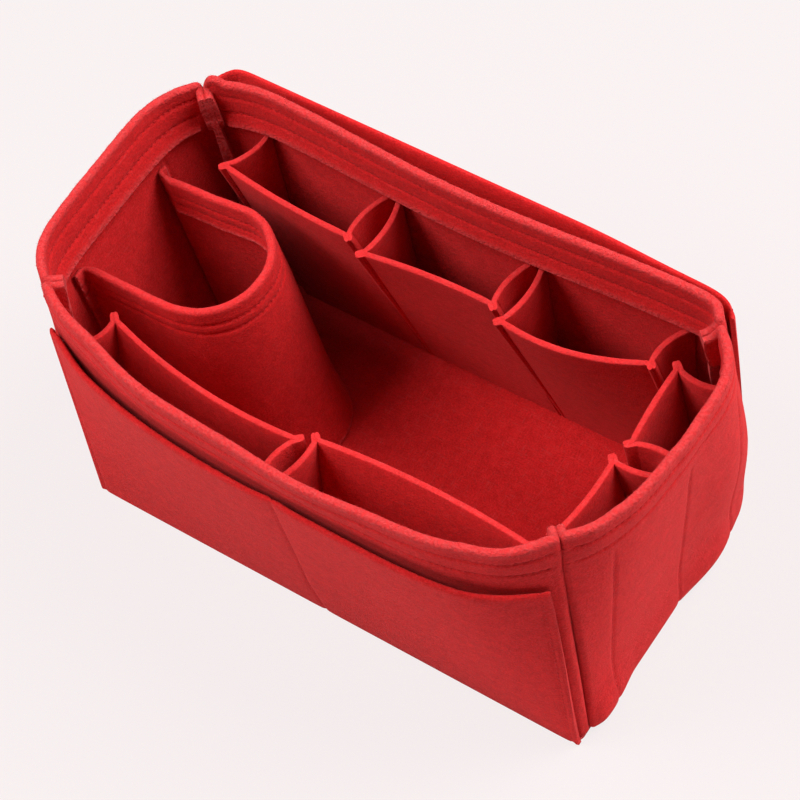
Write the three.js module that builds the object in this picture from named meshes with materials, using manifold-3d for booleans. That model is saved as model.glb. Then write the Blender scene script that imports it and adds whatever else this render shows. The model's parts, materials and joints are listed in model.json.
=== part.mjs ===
// Felt purse organizer insert: an open bin with pockets inside three of its walls,
// a bottle holder on the fourth and slip pockets on the outside of the front and the back.
// Millimetres. +X runs along the length, +Y from front to back and +Z up.
// The origin is the middle of the underside, which the bin stands on.

import * as THREE from 'three';
import { mergeVertices } from 'three/addons/utils/BufferGeometryUtils.js';
import loadManifold from 'manifold-3d';

const wasm = await loadManifold();
wasm.setup();

// The bin
const baseLength = 285;
const baseWidth = 152;
const binHeight = 160;
const felt = 3;
const seamGap = 0.3; // between two pieces that are sewn together
const slipGap = 0.7; // between a slip pocket and the wall that it lies on
const baseCornerRadius = 4;
const rimHem = 28; // depth of the hem that is folded in at the rim
const seamAllowance = 10; // felt turned inwards at each upright corner seam

// How far each corner of the rim is drawn in from the base corner below it, or out where negative
const rimInset = {
  frontLeft: { x: 6.5, y: 13 },
  frontRight: { x: 5.5, y: 15 },
  backRight: { x: 1, y: 14 },
  backLeft: { x: -1, y: 8 },
};

// The rim of a wall bows out from the straight line between its corners. It is furthest out at
// peakAt, a share of the way along, and falls to each corner by a power: a high one keeps the
// wall straight for longer and turns it in more sharply. A wall that sags dips in again at sagAt.
const wallShape = {
  front: { from: 'frontLeft', to: 'frontRight', bow: 32, peakAt: 0.57, startPower: 2.7, endPower: 5 },
  right: { from: 'frontRight', to: 'backRight', bow: 20, peakAt: 0.59, startPower: 4, endPower: 3.5 },
  back: { from: 'backRight', to: 'backLeft', bow: 11.2, peakAt: 0.84, startPower: 60, endPower: 2.8,
    sag: 5, sagAt: 0.48, sagReach: 0.42 },
  left: { from: 'backLeft', to: 'frontLeft', bow: 18.8, peakAt: 0.445, startPower: 3.6, endPower: 6.5 },
};

// Inner pockets stand side by side along a wall, counted along +X or +Y. A row keeps a margin to each
// corner, and its dividers are shares of the way between the margins.
const pocketRows = {
  back: { startMargin: 28.5, endMargin: 21.5, dividers: [0.3266, 0.666] },
  front: { startMargin: 24.5, endMargin: 25.5, dividers: [0.5032] },
  right: { startMargin: 26, endMargin: 26, dividers: [0.545] },
};

// The pockets in the order of their rows. At the mouth, startLean and endLean carry the ends of a front
// panel along the wall from where its gussets are sewn, startDepth and endDepth are from the edge of the
// base to these ends, and bulge is what is added halfway between them.
const innerPockets = {
  back_pocket_left:
    { wall: 'back', startLean: -9, endLean: -2.5, startDepth: 28, endDepth: 35.4, bulge: 2 },
  back_pocket_middle:
    { wall: 'back', startLean: 1, endLean: -1.75, startDepth: 41, endDepth: 36.6, bulge: -2 },
  back_pocket_right:
    { wall: 'back', startLean: -2.25, endLean: -5, startDepth: 42, endDepth: 29, bulge: 7 },
  front_pocket_left:
    { wall: 'front', startLean: 3.5, endLean: 4.5, startDepth: 27, endDepth: 14.4, bulge: -6.2 },
  front_pocket_right:
    { wall: 'front', startLean: 3.5, endLean: 2, startDepth: 18, endDepth: 19.2, bulge: 3.5 },
  right_pocket_front:
    { wall: 'right', startLean: 1, endLean: -4.75, startDepth: 20, endDepth: 17.2, bulge: -2 },
  right_pocket_back:
    { wall: 'right', startLean: -2.25, endLean: 1.5, startDepth: 14.5, endDepth: 17, bulge: 1 },
};
const dividerRoom = 1.5; // between the gussets of two neighbours, where they are sewn to the wall
const pocketDrop = 2; // from the lower edge of the rim's hem to the mouths of the pockets
const pocketTop = binHeight - rimHem - pocketDrop;
const pocketRidge = 2; // front panel past the gusset: the pinched and sewn corner
const gussetFoot = 2; // width of a gusset where it starts above the floor
const gussetBow = 2; // sideways bow of a gusset at the mouth

// Bottle holder: a band with straight sides and a round nose, which leans out towards its foot
const holderDrop = 7; // from the lower edge of the rim's hem
const holderTop = binHeight - rimHem - holderDrop;
const holderHem = 16;
const holderRadius = 33; // to the middle of the band
const holderMiddle = 0; // along the left wall, from the wall's middle
const holderNoseTop = 42; // from the left edge of the base to the centre of the nose, at the top
const holderNoseFoot = 57; // the same at the foot

// Slip pockets on the outside. Each keeps a margin to the corner seams at the ends of its wall.
const frontSlipDrop = 30; // from the rim
const frontSlipStartMargin = 2.85;
const frontSlipEndMargin = 4.3;
const frontSlipSeamAt = 0.51; // share of the way along the wall to the seam that parts the two pockets
const frontSlipGape = 5; // how far the mouth stands off the wall
const backSlipDrop = 10;
const backSlipStartMargin = 3.4;
const backSlipEndMargin = 0.6;
const backSlipShape = { bow: 18.4, peakAt: 0.7, startPower: 40, endPower: 18,
  sag: 2.6, sagAt: 0.06, sagReach: 0.25 };

// Colours of the felt, from the lit outside and the shaded inside
const outerFelt = 0xb52a2d;
const innerFelt = 0xa01c20;
const feltRoughness = 0.95;

// Fineness of the surfaces
const wallColumns = 30;
const frontColumns = 14;
const gussetColumns = 4;
const noseColumns = 14;
const sideColumns = 3;
const foldSteps = 4;
const straightRows = 4;
const seamRows = 3;
const cornerSteps = 4;
const shareStep = 1e-4; // for the direction of a curve
const weldDistance = 1e-4;
const searchReach = 0.2; // share of a wall in which the root of its seam allowance is looked for
const searchSteps = 40;

const wallFoot = felt + seamGap; // height at which the walls and pockets stand on the base
const cornerOverrun = 2 * felt; // how far a wall runs on past its corner before it is mitred

// Walls as curves in plan. A level runs from 0 at the underside to 1 at the rim.
const cornerSides = {
  frontLeft: { x: -1, y: -1 },
  frontRight: { x: 1, y: -1 },
  backRight: { x: 1, y: 1 },
  backLeft: { x: -1, y: 1 },
};

const alongX = new THREE.Vector2(1, 0);
const alongY = new THREE.Vector2(0, 1);
const wallFrames = {
  front: { along: alongX, inward: new THREE.Vector2(0, 1), length: baseLength, half: baseWidth / 2 },
  back: { along: alongX, inward: new THREE.Vector2(0, -1), length: baseLength, half: baseWidth / 2 },
  right: { along: alongY, inward: new THREE.Vector2(-1, 0), length: baseWidth, half: baseLength / 2 },
  left: { along: alongY, inward: new THREE.Vector2(1, 0), length: baseWidth, half: baseLength / 2 },
};

function cornerAt(name, level) {
  const side = cornerSides[name];
  const inset = rimInset[name];
  const x = side.x * (baseLength / 2 - level * inset.x);
  const y = side.y * (baseWidth / 2 - level * inset.y);
  return new THREE.Vector2(x, y);
}

// Outward bow of a rim line at a share of its length
function bowAt(shape, share) {
  const before = share < shape.peakAt;
  const reach = before ? shape.peakAt : 1 - shape.peakAt;
  const power = before ? shape.startPower : shape.endPower;
  const crown = shape.bow * (1 - Math.pow(Math.abs(share - shape.peakAt) / reach, power));
  if (!shape.sag) {
    return crown;
  }
  const away = Math.min(1, Math.abs(share - shape.sagAt) / shape.sagReach);
  return crown - shape.sag * (1 + Math.cos(Math.PI * away)) / 2;
}

// Outer face of a wall, or of a slip pocket that hangs on it with a bow of its own
function linePoint(wall, shape, share, level) {
  const ends = wallShape[wall];
  const point = cornerAt(ends.from, level).lerp(cornerAt(ends.to, level), share);
  return point.addScaledVector(wallFrames[wall].inward, -level * bowAt(shape, share));
}

// Unit vector in plan, square to a line and pointing into the bin
function lineInward(wall, shape, share, level) {
  const ahead = linePoint(wall, shape, share + shareStep, level);
  const tangent = ahead.sub(linePoint(wall, shape, share - shareStep, level)).normalize();
  return new THREE.Vector2(-tangent.y, tangent.x);
}

// The columns that a wall is faceted at, closer together towards its corners, as shares of its length.
// They run on past the corners, where the wall is mitred.
function wallShares(wall) {
  const overrun = cornerOverrun / wallFrames[wall].length;
  const shares = [];
  for (let column = 0; column <= wallColumns; column += 1) {
    const eased = (1 - Math.cos(Math.PI * column / wallColumns)) / 2;
    shares.push(-overrun + (1 + 2 * overrun) * eased);
  }
  return shares;
}

// A point on a line's facets, moved square to the line by a distance into the bin
function facetPoint(wall, shape, share, level, into) {
  const shares = wallShares(wall);
  const next = Math.max(1, shares.findIndex((at) => at >= share));
  const vertex = (at) =>
    linePoint(wall, shape, at, level).addScaledVector(lineInward(wall, shape, at, level), into);
  const part = (share - shares[next - 1]) / (shares[next] - shares[next - 1]);
  return vertex(shares[next - 1]).lerp(vertex(shares[next]), part);
}

// Distance from the edge of the base to the inner face of a wall, below its hem
function wallDepth(wall, along, height) {
  const frame = wallFrames[wall];
  const shape = wallShape[wall];
  const level = height / binHeight;
  const inner = wallShares(wall).map((share) => facetPoint(wall, shape, share, level, felt));
  const places = inner.map((point) => point.dot(frame.along));
  const next = places.findIndex((place, i) => i > 0 && (places[i - 1] - along) * (place - along) <= 0);
  const part = (along - places[next - 1]) / (places[next] - places[next - 1]);
  return inner[next - 1].clone().lerp(inner[next], part).dot(frame.inward) + frame.half;
}

// A point given along a wall, in from the edge of the base, and up
function onWall(wall, along, depth, height) {
  const frame = wallFrames[wall];
  const plan = frame.along.clone().multiplyScalar(along);
  plan.addScaledVector(frame.inward, depth - frame.half);
  return new THREE.Vector3(plan.x, plan.y, height);
}

// A closed sheet of felt. pointAt(column, row, side) gives the two faces, side -1 and side 1.
function sheet(columns, rows, pointAt) {
  const positions = [];
  for (const side of [-1, 1]) {
    for (let row = 0; row <= rows; row += 1) {
      for (let column = 0; column <= columns; column += 1) {
        positions.push(...pointAt(column, row, side).toArray());
      }
    }
  }
  const face = (columns + 1) * (rows + 1);
  const at = (column, row, back) => (back ? face : 0) + row * (columns + 1) + column;
  const triangles = [];
  const quad = (a, b, c, d) => triangles.push(a, b, c, a, c, d);
  for (let row = 0; row < rows; row += 1) {
    for (let column = 0; column < columns; column += 1) {
      quad(at(column, row), at(column + 1, row), at(column + 1, row + 1), at(column, row + 1));
      quad(at(column, row + 1, true), at(column + 1, row + 1, true),
        at(column + 1, row, true), at(column, row, true));
    }
  }
  for (let column = 0; column < columns; column += 1) {
    quad(at(column + 1, 0), at(column, 0), at(column, 0, true), at(column + 1, 0, true));
    quad(at(column, rows), at(column + 1, rows), at(column + 1, rows, true), at(column, rows, true));
  }
  for (let row = 0; row < rows; row += 1) {
    quad(at(0, row), at(0, row + 1), at(0, row + 1, true), at(0, row, true));
    quad(at(columns, row + 1), at(columns, row), at(columns, row, true), at(columns, row + 1, true));
  }
  const geometry = new THREE.BufferGeometry();
  geometry.setAttribute('position', new THREE.Float32BufferAttribute(positions, 3));
  geometry.setIndex(signedVolume(positions, triangles) < 0 ? triangles.reverse() : triangles);
  return geometry;
}

function signedVolume(positions, triangles) {
  const corner = (i) => new THREE.Vector3().fromArray(positions, 3 * triangles[i]);
  let volume = 0;
  for (let i = 0; i < triangles.length; i += 3) {
    volume += corner(i).dot(corner(i + 1).cross(corner(i + 2))) / 6;
  }
  return volume;
}

// Rows of a sheet that is folded over inwards at its top edge: where the middle of the felt is, and the
// direction from there to its outer face, by its shares up and out
function hemRows(foot, top, hem) {
  const fold = (felt + seamGap) / 2;
  const foldHeight = top - felt / 2 - fold;
  const rows = [];
  for (let row = 0; row < straightRows; row += 1) {
    rows.push({ height: foot + (foldHeight - foot) * row / straightRows, inward: 0, up: 0, out: 1 });
  }
  for (let step = 0; step <= foldSteps; step += 1) {
    const turn = Math.PI * step / foldSteps;
    rows.push({
      height: foldHeight + fold * Math.sin(turn),
      inward: fold * (1 - Math.cos(turn)),
      up: Math.sin(turn),
      out: Math.cos(turn),
    });
  }
  rows.push({ height: top - hem, inward: 2 * fold, up: 0, out: -1 });
  return rows;
}

// Solids for cutting and joining
function toSolid(geometry) {
  const plain = geometry.clone();
  plain.deleteAttribute('normal');
  plain.deleteAttribute('uv');
  const merged = mergeVertices(plain, weldDistance);
  return new wasm.Manifold(new wasm.Mesh({
    numProp: 3,
    vertProperties: new Float32Array(merged.attributes.position.array),
    triVerts: new Uint32Array(merged.index.array),
  }));
}

function toGeometry(solid) {
  const mesh = solid.getMesh();
  const geometry = new THREE.BufferGeometry();
  geometry.setAttribute('position', new THREE.BufferAttribute(new Float32Array(mesh.vertProperties), 3));
  geometry.setIndex(new THREE.BufferAttribute(new Uint32Array(mesh.triVerts), 1));
  return geometry;
}

// The upright plane that parts two walls: through the corner line and the diagonal of the corner
function mitreOf(corner, wall) {
  const foot = cornerAt(corner, 0);
  const rim = cornerAt(corner, 1);
  const side = cornerSides[corner];
  const diagonal = new THREE.Vector3(-side.x, -side.y, 0).normalize();
  const line = new THREE.Vector3(rim.x - foot.x, rim.y - foot.y, binHeight).normalize();
  const normal = line.cross(diagonal).normalize();
  const inWall = linePoint(wall, wallShape[wall], 0.5, 0);
  if (normal.x * (inWall.x - foot.x) + normal.y * (inWall.y - foot.y) < 0) {
    normal.negate();
  }
  return { origin: new THREE.Vector3(foot.x, foot.y, 0), diagonal, normal };
}

// Everything past the mitre plane near a corner, as a block to cut away
function mitreBlock(mitre) {
  const reach = binHeight / 2;
  const tall = 3 * binHeight; // it is centred on the underside, so half of it clears the rim
  const block = new THREE.BoxGeometry(2 * reach, tall, reach);
  const upright = mitre.normal.clone().cross(mitre.diagonal);
  const turn = new THREE.Matrix4().makeBasis(mitre.diagonal, upright, mitre.normal);
  turn.setPosition(mitre.origin.clone().addScaledVector(mitre.normal, (seamGap - reach) / 2));
  return toSolid(block.applyMatrix4(turn));
}

// The turned-in edge of a wall: a strip along the corner's diagonal, beside the mitre plane
function seamStrip(wall, mitre, atStart) {
  const shape = wallShape[wall];
  const beside = (seamGap + felt) / 2;
  const root = (height) => {
    const level = height / binHeight;
    let near = atStart ? 0 : 1;
    let far = atStart ? searchReach : 1 - searchReach;
    for (let i = 0; i < searchSteps; i += 1) {
      const middle = (near + far) / 2;
      const plan = linePoint(wall, shape, middle, level);
      plan.addScaledVector(lineInward(wall, shape, middle, level), felt / 2);
      const point = new THREE.Vector3(plan.x, plan.y, height);
      if (point.clone().sub(mitre.origin).dot(mitre.normal) < beside) {
        near = middle;
      } else {
        far = middle;
      }
    }
    const plan = linePoint(wall, shape, near, level);
    plan.addScaledVector(lineInward(wall, shape, near, level), felt / 2);
    return new THREE.Vector3(plan.x, plan.y, height);
  };
  const top = binHeight - felt;
  return sheet(1, seamRows, (column, row, side) => {
    const point = root(THREE.MathUtils.lerp(wallFoot, top, row / seamRows));
    point.addScaledVector(mitre.diagonal, column * seamAllowance);
    return point.addScaledVector(mitre.normal, side * felt / 2);
  });
}

// A wall: the hemmed sheet, mitred at both corners, with its two turned-in edges
function wallGeometry(wall) {
  const shape = wallShape[wall];
  const rows = hemRows(wallFoot, binHeight, rimHem);
  const shares = wallShares(wall);
  const body = sheet(wallColumns, rows.length - 1, (column, row, side) => {
    const { height, inward, up, out } = rows[row];
    const into = felt / 2 + inward - side * out * felt / 2;
    const plan = facetPoint(wall, shape, shares[column], height / binHeight, into);
    return new THREE.Vector3(plan.x, plan.y, height + side * up * felt / 2);
  });
  let solid = toSolid(body);
  for (const atStart of [true, false]) {
    const mitre = mitreOf(atStart ? shape.from : shape.to, wall);
    solid = solid.subtract(mitreBlock(mitre));
    solid = solid.add(toSolid(seamStrip(wall, mitre, atStart)));
  }
  return toGeometry(solid);
}

function baseGeometry() {
  const x = baseLength / 2;
  const y = baseWidth / 2;
  const r = baseCornerRadius;
  const outline = new THREE.Shape();
  outline.absarc(x - r, -y + r, r, -Math.PI / 2, 0);
  outline.absarc(x - r, y - r, r, 0, Math.PI / 2);
  outline.absarc(-x + r, y - r, r, Math.PI / 2, Math.PI);
  outline.absarc(-x + r, -y + r, r, Math.PI, 1.5 * Math.PI);
  const settings = { depth: felt, bevelEnabled: false, curveSegments: cornerSteps };
  return new THREE.ExtrudeGeometry(outline, settings);
}

// Where along its wall the two gussets of a pocket are sewn
function gussetSeams(name) {
  const { wall } = innerPockets[name];
  const { startMargin, endMargin, dividers } = pocketRows[wall];
  const neighbours = Object.keys(innerPockets).filter((other) => innerPockets[other].wall === wall);
  const place = neighbours.indexOf(name);
  const half = wallFrames[wall].length / 2;
  const beside = (felt + dividerRoom) / 2;
  const seamAt = (share) => THREE.MathUtils.lerp(startMargin - half, half - endMargin, share);
  const isFirst = place === 0;
  const isLast = place === dividers.length;
  return {
    start: isFirst ? seamAt(0) : seamAt(dividers[place - 1]) + beside,
    end: isLast ? seamAt(1) : seamAt(dividers[place]) - beside,
  };
}

// Ends of a pocket's front panel: beside the gussets' seams at the foot, past the gussets at the mouth
function frontEnds(pocket, level) {
  return {
    start: pocket.seams.start + THREE.MathUtils.lerp(-felt / 2, pocket.startLean, level),
    end: pocket.seams.end + THREE.MathUtils.lerp(felt / 2, pocket.endLean, level),
  };
}

// A pocket's level runs from 0 at the floor to 1 at its mouth
function pocketLevel(height) {
  return (height - wallFoot) / (pocketTop - wallFoot);
}

// Middle of a pocket's front panel: from its seam at the foot of the wall out to its mouth
function frontDepth(pocket, along, height) {
  const level = pocketLevel(height);
  const { start, end } = frontEnds(pocket, level);
  const share = (along - start) / (end - start);
  const straight = THREE.MathUtils.lerp(pocket.startDepth, pocket.endDepth, share);
  const mouth = straight + 4 * pocket.bulge * share * (1 - share);
  const foot = wallDepth(pocket.wall, along, wallFoot) + seamGap + felt / 2;
  return THREE.MathUtils.lerp(foot, mouth, level);
}

function pocketFront(pocket) {
  const foot = wallFoot + seamGap;
  return sheet(frontColumns, straightRows, (column, row, side) => {
    const height = THREE.MathUtils.lerp(foot, pocketTop, row / straightRows);
    const { start, end } = frontEnds(pocket, pocketLevel(height));
    const along = THREE.MathUtils.lerp(start, end, column / frontColumns);
    return onWall(pocket.wall, along, frontDepth(pocket, along, height) + side * felt / 2, height);
  });
}

// A gusset: from the wall to the back of the front panel, bowed into its own pocket
function pocketGusset(pocket, atStart) {
  const into = atStart ? 1 : -1;
  const end = atStart ? 'start' : 'end';
  const wallAlong = pocket.seams[end];
  const frontAlong = frontEnds(pocket, 1)[end] + into * (pocketRidge + felt / 2);
  const backOf = (along, height) => frontDepth(pocket, along, height) - felt / 2 - seamGap;
  const faceOf = (along, height) => wallDepth(pocket.wall, along, height) + seamGap;
  const mouth = backOf(frontAlong, pocketTop) - faceOf(wallAlong, pocketTop);
  const lowShare = (gussetFoot + 2 * seamGap) / (mouth + seamGap);
  return sheet(gussetColumns, straightRows, (column, row, side) => {
    const level = lowShare + (1 - lowShare) * row / straightRows;
    const height = wallFoot + (pocketTop - wallFoot) * level;
    const share = column / gussetColumns;
    const bow = into * gussetBow * level * 4 * share * (1 - share);
    const atWall = wallAlong + side * felt / 2;
    const atFront = wallAlong + (frontAlong - wallAlong) * level + side * felt / 2;
    const along = THREE.MathUtils.lerp(atWall, atFront, share) + bow;
    const depth = THREE.MathUtils.lerp(faceOf(atWall, height), backOf(atFront, height), share);
    return onWall(pocket.wall, along, depth, height);
  });
}

// Plan of the bottle holder: back side, nose and front side, in wall coordinates
function holderPoint(column, height, inward) {
  const level = height / holderTop;
  const nose = holderNoseFoot + (holderNoseTop - holderNoseFoot) * level;
  const radius = holderRadius - inward;
  const last = 2 * sideColumns + noseColumns;
  if (column >= sideColumns && column <= last - sideColumns) {
    const turn = Math.PI * (0.5 - (column - sideColumns) / noseColumns);
    return { along: holderMiddle + radius * Math.sin(turn), depth: nose + radius * Math.cos(turn) };
  }
  const back = column < sideColumns;
  const along = holderMiddle + (back ? radius : -radius);
  const share = (back ? column : last - column) / sideColumns;
  const face = wallDepth('left', along, height) + seamGap;
  return { along, depth: face + (nose - face) * share };
}

function holderGeometry() {
  const rows = hemRows(wallFoot, holderTop, holderHem);
  return sheet(2 * sideColumns + noseColumns, rows.length - 1, (column, row, side) => {
    const { height, inward, up, out } = rows[row];
    const lifted = height + side * up * felt / 2;
    const { along, depth } = holderPoint(column, lifted, inward - side * out * felt / 2);
    return onWall('left', along, depth, lifted);
  });
}

// A slip pocket on the outside of a wall, between two shares along it
function slipGeometry(wall, shape, start, end, top, gape) {
  const inside = wallShares(wall).filter((share) => share > start && share < end);
  const shares = [start, ...inside, end];
  return sheet(shares.length - 1, straightRows, (column, row, side) => {
    const part = (shares[column] - start) / (end - start);
    const height = wallFoot + (top - wallFoot) * row / straightRows;
    const stand = gape * (height / top) * 4 * part * (1 - part);
    const off = slipGap + (1 + side) * felt / 2 + stand;
    const plan = facetPoint(wall, shape, shares[column], height / binHeight, -off);
    return new THREE.Vector3(plan.x, plan.y, height);
  });
}

const organizer = new THREE.Group();

function addPiece(name, geometry, colour) {
  const material = new THREE.MeshStandardMaterial({ color: colour, roughness: feltRoughness, metalness: 0 });
  const piece = new THREE.Mesh(geometry, material);
  piece.name = name;
  organizer.add(piece);
}

addPiece('base_panel', baseGeometry(), innerFelt);
addPiece('front_wall', wallGeometry('front'), outerFelt);
addPiece('back_wall', wallGeometry('back'), outerFelt);
addPiece('left_end_wall', wallGeometry('left'), outerFelt);
addPiece('right_end_wall', wallGeometry('right'), outerFelt);

for (const [name, sizes] of Object.entries(innerPockets)) {
  const pocket = { ...sizes, seams: gussetSeams(name) };
  addPiece(`${name}_front`, pocketFront(pocket), innerFelt);
  addPiece(`${name}_gusset_start`, pocketGusset(pocket, true), innerFelt);
  addPiece(`${name}_gusset_end`, pocketGusset(pocket, false), innerFelt);
}

addPiece('bottle_holder', holderGeometry(), innerFelt);

const frontSlipTop = binHeight - frontSlipDrop;
const frontSlip = (start, end) =>
  slipGeometry('front', wallShape.front, start, end, frontSlipTop, frontSlipGape);
const frontSlipStart = frontSlipStartMargin / baseLength;
const frontSlipEnd = 1 - frontSlipEndMargin / baseLength;
const besideSeam = seamGap / baseLength;
addPiece('front_outer_pocket_left', frontSlip(frontSlipStart, frontSlipSeamAt - besideSeam), outerFelt);
addPiece('front_outer_pocket_right', frontSlip(frontSlipSeamAt + besideSeam, frontSlipEnd), outerFelt);

const backSlipStart = backSlipStartMargin / baseLength;
const backSlipEnd = 1 - backSlipEndMargin / baseLength;
const backSlipTop = binHeight - backSlipDrop;
addPiece('back_outer_pocket',
  slipGeometry('back', backSlipShape, backSlipStart, backSlipEnd, backSlipTop, 0), outerFelt);

export default organizer;
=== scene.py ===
# %% [markdown]
# # A felt purse organizer insert
# An open bin of thick red felt that stands in a handbag. Pockets hang inside three of its walls, a
# bottle holder is sewn to the fourth, and slip pockets lie on the outside of the front and the back.
# The packed model comes first: it is the frame that says where every piece sits and what it moves with.

# %% Load the packed frame
import json
import math

import bpy
import numpy as np
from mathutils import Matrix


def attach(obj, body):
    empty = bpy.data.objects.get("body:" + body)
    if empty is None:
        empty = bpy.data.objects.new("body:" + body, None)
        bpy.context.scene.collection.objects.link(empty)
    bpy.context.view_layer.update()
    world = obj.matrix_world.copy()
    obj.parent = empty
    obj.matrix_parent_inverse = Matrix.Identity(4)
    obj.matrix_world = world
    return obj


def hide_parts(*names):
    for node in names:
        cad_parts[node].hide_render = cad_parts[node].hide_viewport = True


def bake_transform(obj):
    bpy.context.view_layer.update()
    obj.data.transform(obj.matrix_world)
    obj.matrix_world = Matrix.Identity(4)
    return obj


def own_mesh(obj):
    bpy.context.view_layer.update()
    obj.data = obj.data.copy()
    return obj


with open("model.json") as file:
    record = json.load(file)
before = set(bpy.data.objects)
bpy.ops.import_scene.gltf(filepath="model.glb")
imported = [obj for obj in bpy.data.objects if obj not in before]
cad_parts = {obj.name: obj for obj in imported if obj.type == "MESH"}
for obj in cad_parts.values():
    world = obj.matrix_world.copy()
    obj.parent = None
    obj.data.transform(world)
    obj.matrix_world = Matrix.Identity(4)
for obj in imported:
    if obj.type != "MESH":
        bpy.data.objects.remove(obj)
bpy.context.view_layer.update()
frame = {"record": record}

# %% [markdown]
# ## Sizes
# All the felt is cut from one 3 mm sheet, so one thickness serves every piece. The sizes are in
# millimetres, as a maker would write them on a pattern, and are turned to metres when a mesh is made.

# %% Sizes of the bin
MILLIMETRE = 0.001
base_length = 285.0
base_width = 152.0
bin_height = 160.0
felt = 3.0
layer_gap = 0.3
rim_hem = 28.0
seam_allowance = 10.0
wall_foot = felt + layer_gap
print("bin:", base_length, "x", base_width, "x", bin_height, "mm")

# %% [markdown]
# ## The walls as lines seen from above
# Felt walls are not flat: each one leaves the straight edge of the base and bows more and more towards
# the rim, and the four rim corners are drawn inwards. One formula gives the line of a wall at any
# height. A power on each side of the furthest point says how sharply the wall turns in at its corner.
# Close to the rim a few soft lips flare out further still. A share says how far along its wall a point
# lies, from 0 at the start to 1 at the end, going round the bin from the front to the right.

# %% Lines of the four walls
corner_sides = {
    "front_left": (-1, -1),
    "front_right": (1, -1),
    "back_right": (1, 1),
    "back_left": (-1, 1),
}
rim_inset = {
    "front_left": (6.5, 13.0),
    "front_right": (5.5, 15.0),
    "back_right": (1.0, 14.0),
    "back_left": (-1.0, 8.0),
}
front_line = dict(start="front_left", end="front_right", bow=32.0, peak=0.57, start_power=2.7, end_power=5.0)
right_line = dict(start="front_right", end="back_right", bow=20.0, peak=0.59, start_power=4.0, end_power=3.5)
back_line = dict(start="back_right", end="back_left", bow=11.2, peak=0.84, start_power=60.0, end_power=2.8)
back_line.update(sag=5.0, sag_at=0.48, sag_reach=0.42)
left_line = dict(start="back_left", end="front_left", bow=18.8, peak=0.445, start_power=3.6, end_power=6.5)
wall_lines = {"front": front_line, "right": right_line, "back": back_line, "left": left_line}
bulging_corner = "back_right"
corner_bulge = 2.2
bulge_power = 0.75
lip_foot = 128.0
lips = {
    "front": ((0.05, 0.1, 2.2), (0.27, 0.12, 0.9), (0.6, 0.15, 2.3), (0.96, 0.08, 3.2)),
    "right": ((0.05, 0.13, 1.8), (0.53, 0.1, 0.7)),
}
half_length = base_length / 2
half_width = base_width / 2
to_right = np.array([1.0, 0.0])
to_back = np.array([0.0, 1.0])
wall_frames = {
    "front": dict(along=to_right, inward=to_back, length=base_length, half=half_width),
    "back": dict(along=to_right, inward=-to_back, length=base_length, half=half_width),
    "right": dict(along=to_back, inward=-to_right, length=base_width, half=half_length),
    "left": dict(along=to_back, inward=to_right, length=base_width, half=half_length),
}


def smooth(share):
    share = np.clip(share, 0, 1)
    return share * share * (3 - 2 * share)


def ramp(place, low, high):
    """Nothing at the first limit, one at the second, and a soft rise between them."""
    return smooth((place - low) / (high - low))


def hump(share):
    """One at nought, and nothing from one onwards to either side."""
    return np.clip(1 - share ** 2, 0, 1) ** 2


def arch(share):
    """Nothing at nought and at one, and one halfway."""
    return 4 * share * (1 - share)


def corner_at(name, level):
    side = corner_sides[name]
    inset = rim_inset[name]
    corner = np.array([side[0] * (half_length - level * inset[0]), side[1] * (half_width - level * inset[1])])
    if name == bulging_corner:
        corner[0] = corner[0] + corner_bulge * math.sin(np.pi * min(1.0, max(0.0, level)) ** bulge_power)
    return corner


def bow_at(line, share):
    before = share < line["peak"]
    reach = np.where(before, line["peak"], 1 - line["peak"])
    power = np.where(before, line["start_power"], line["end_power"])
    crown = line["bow"] * (1 - (np.abs(share - line["peak"]) / reach) ** power)
    if "sag" not in line:
        return crown
    away = np.minimum(1, np.abs(share - line["sag_at"]) / line["sag_reach"])
    return crown - line["sag"] * (1 + np.cos(np.pi * away)) / 2


def lip_at(wall, share, height):
    """How far the top of a wall flares out beyond its even bow, as humps with a place, reach and size."""
    flares = [size * hump((share - at) / reach) for at, reach, size in lips.get(wall, ())]
    return ramp(height, lip_foot, bin_height) * sum(flares, np.zeros(len(share)))


def line_points(wall, share, height, line=None):
    """Outer face of a wall, or of a slip pocket with a line of its own, seen from above."""
    ends = wall_lines[wall]
    level = height / bin_height
    start = corner_at(ends["start"], level)
    end = corner_at(ends["end"], level)
    plan = start + share[:, None] * (end - start)
    bow = level * bow_at(line or ends, share)
    if line is None:
        bow = bow + lip_at(wall, share, height)
    return plan - bow[:, None] * wall_frames[wall]["inward"]


print("rim corners:", {name: corner_at(name, 1).tolist() for name in corner_sides})

# %% [markdown]
# ## Helpers for lines
# A sewn piece of felt is a line that runs along, bends round and ends in a flap against its neighbour.
# These helpers measure a line, give its inward direction, and turn its end round a bend, so that the
# same few steps make corner seams, pinched pocket corners and the flanges of the bottle holder.

# %% Lengths, directions and turned ends
shortest_flap = 0.6
wave_pitches = (1.0, 0.618, 0.411, 0.239)
wave_weights = (1.0, 0.7, 0.5, 0.3)


def unit(vectors):
    return vectors / np.maximum(np.linalg.norm(vectors, axis=-1, keepdims=True), 1e-12)


def mix(first, second, share):
    return first + (second - first) * share


def lengths_along(line):
    return np.concatenate([[0.0], np.cumsum(np.linalg.norm(np.diff(line, axis=0), axis=1))])


def point_at(line, lengths, at):
    return np.stack([np.interp(at, lengths, line[:, axis]) for axis in range(line.shape[1])], axis=-1)


def headings(line, axis=0):
    """Unit direction at each point, halfway between the steps before and after it."""
    steps = unit(np.diff(line, axis=axis))
    first = np.take(steps, [0], axis=axis)
    last = np.take(steps, [-1], axis=axis)
    return unit(np.concatenate([first, steps], axis=axis) + np.concatenate([steps, last], axis=axis))


def left_of(directions):
    return np.stack([-directions[..., 1], directions[..., 0]], axis=-1)


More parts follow.
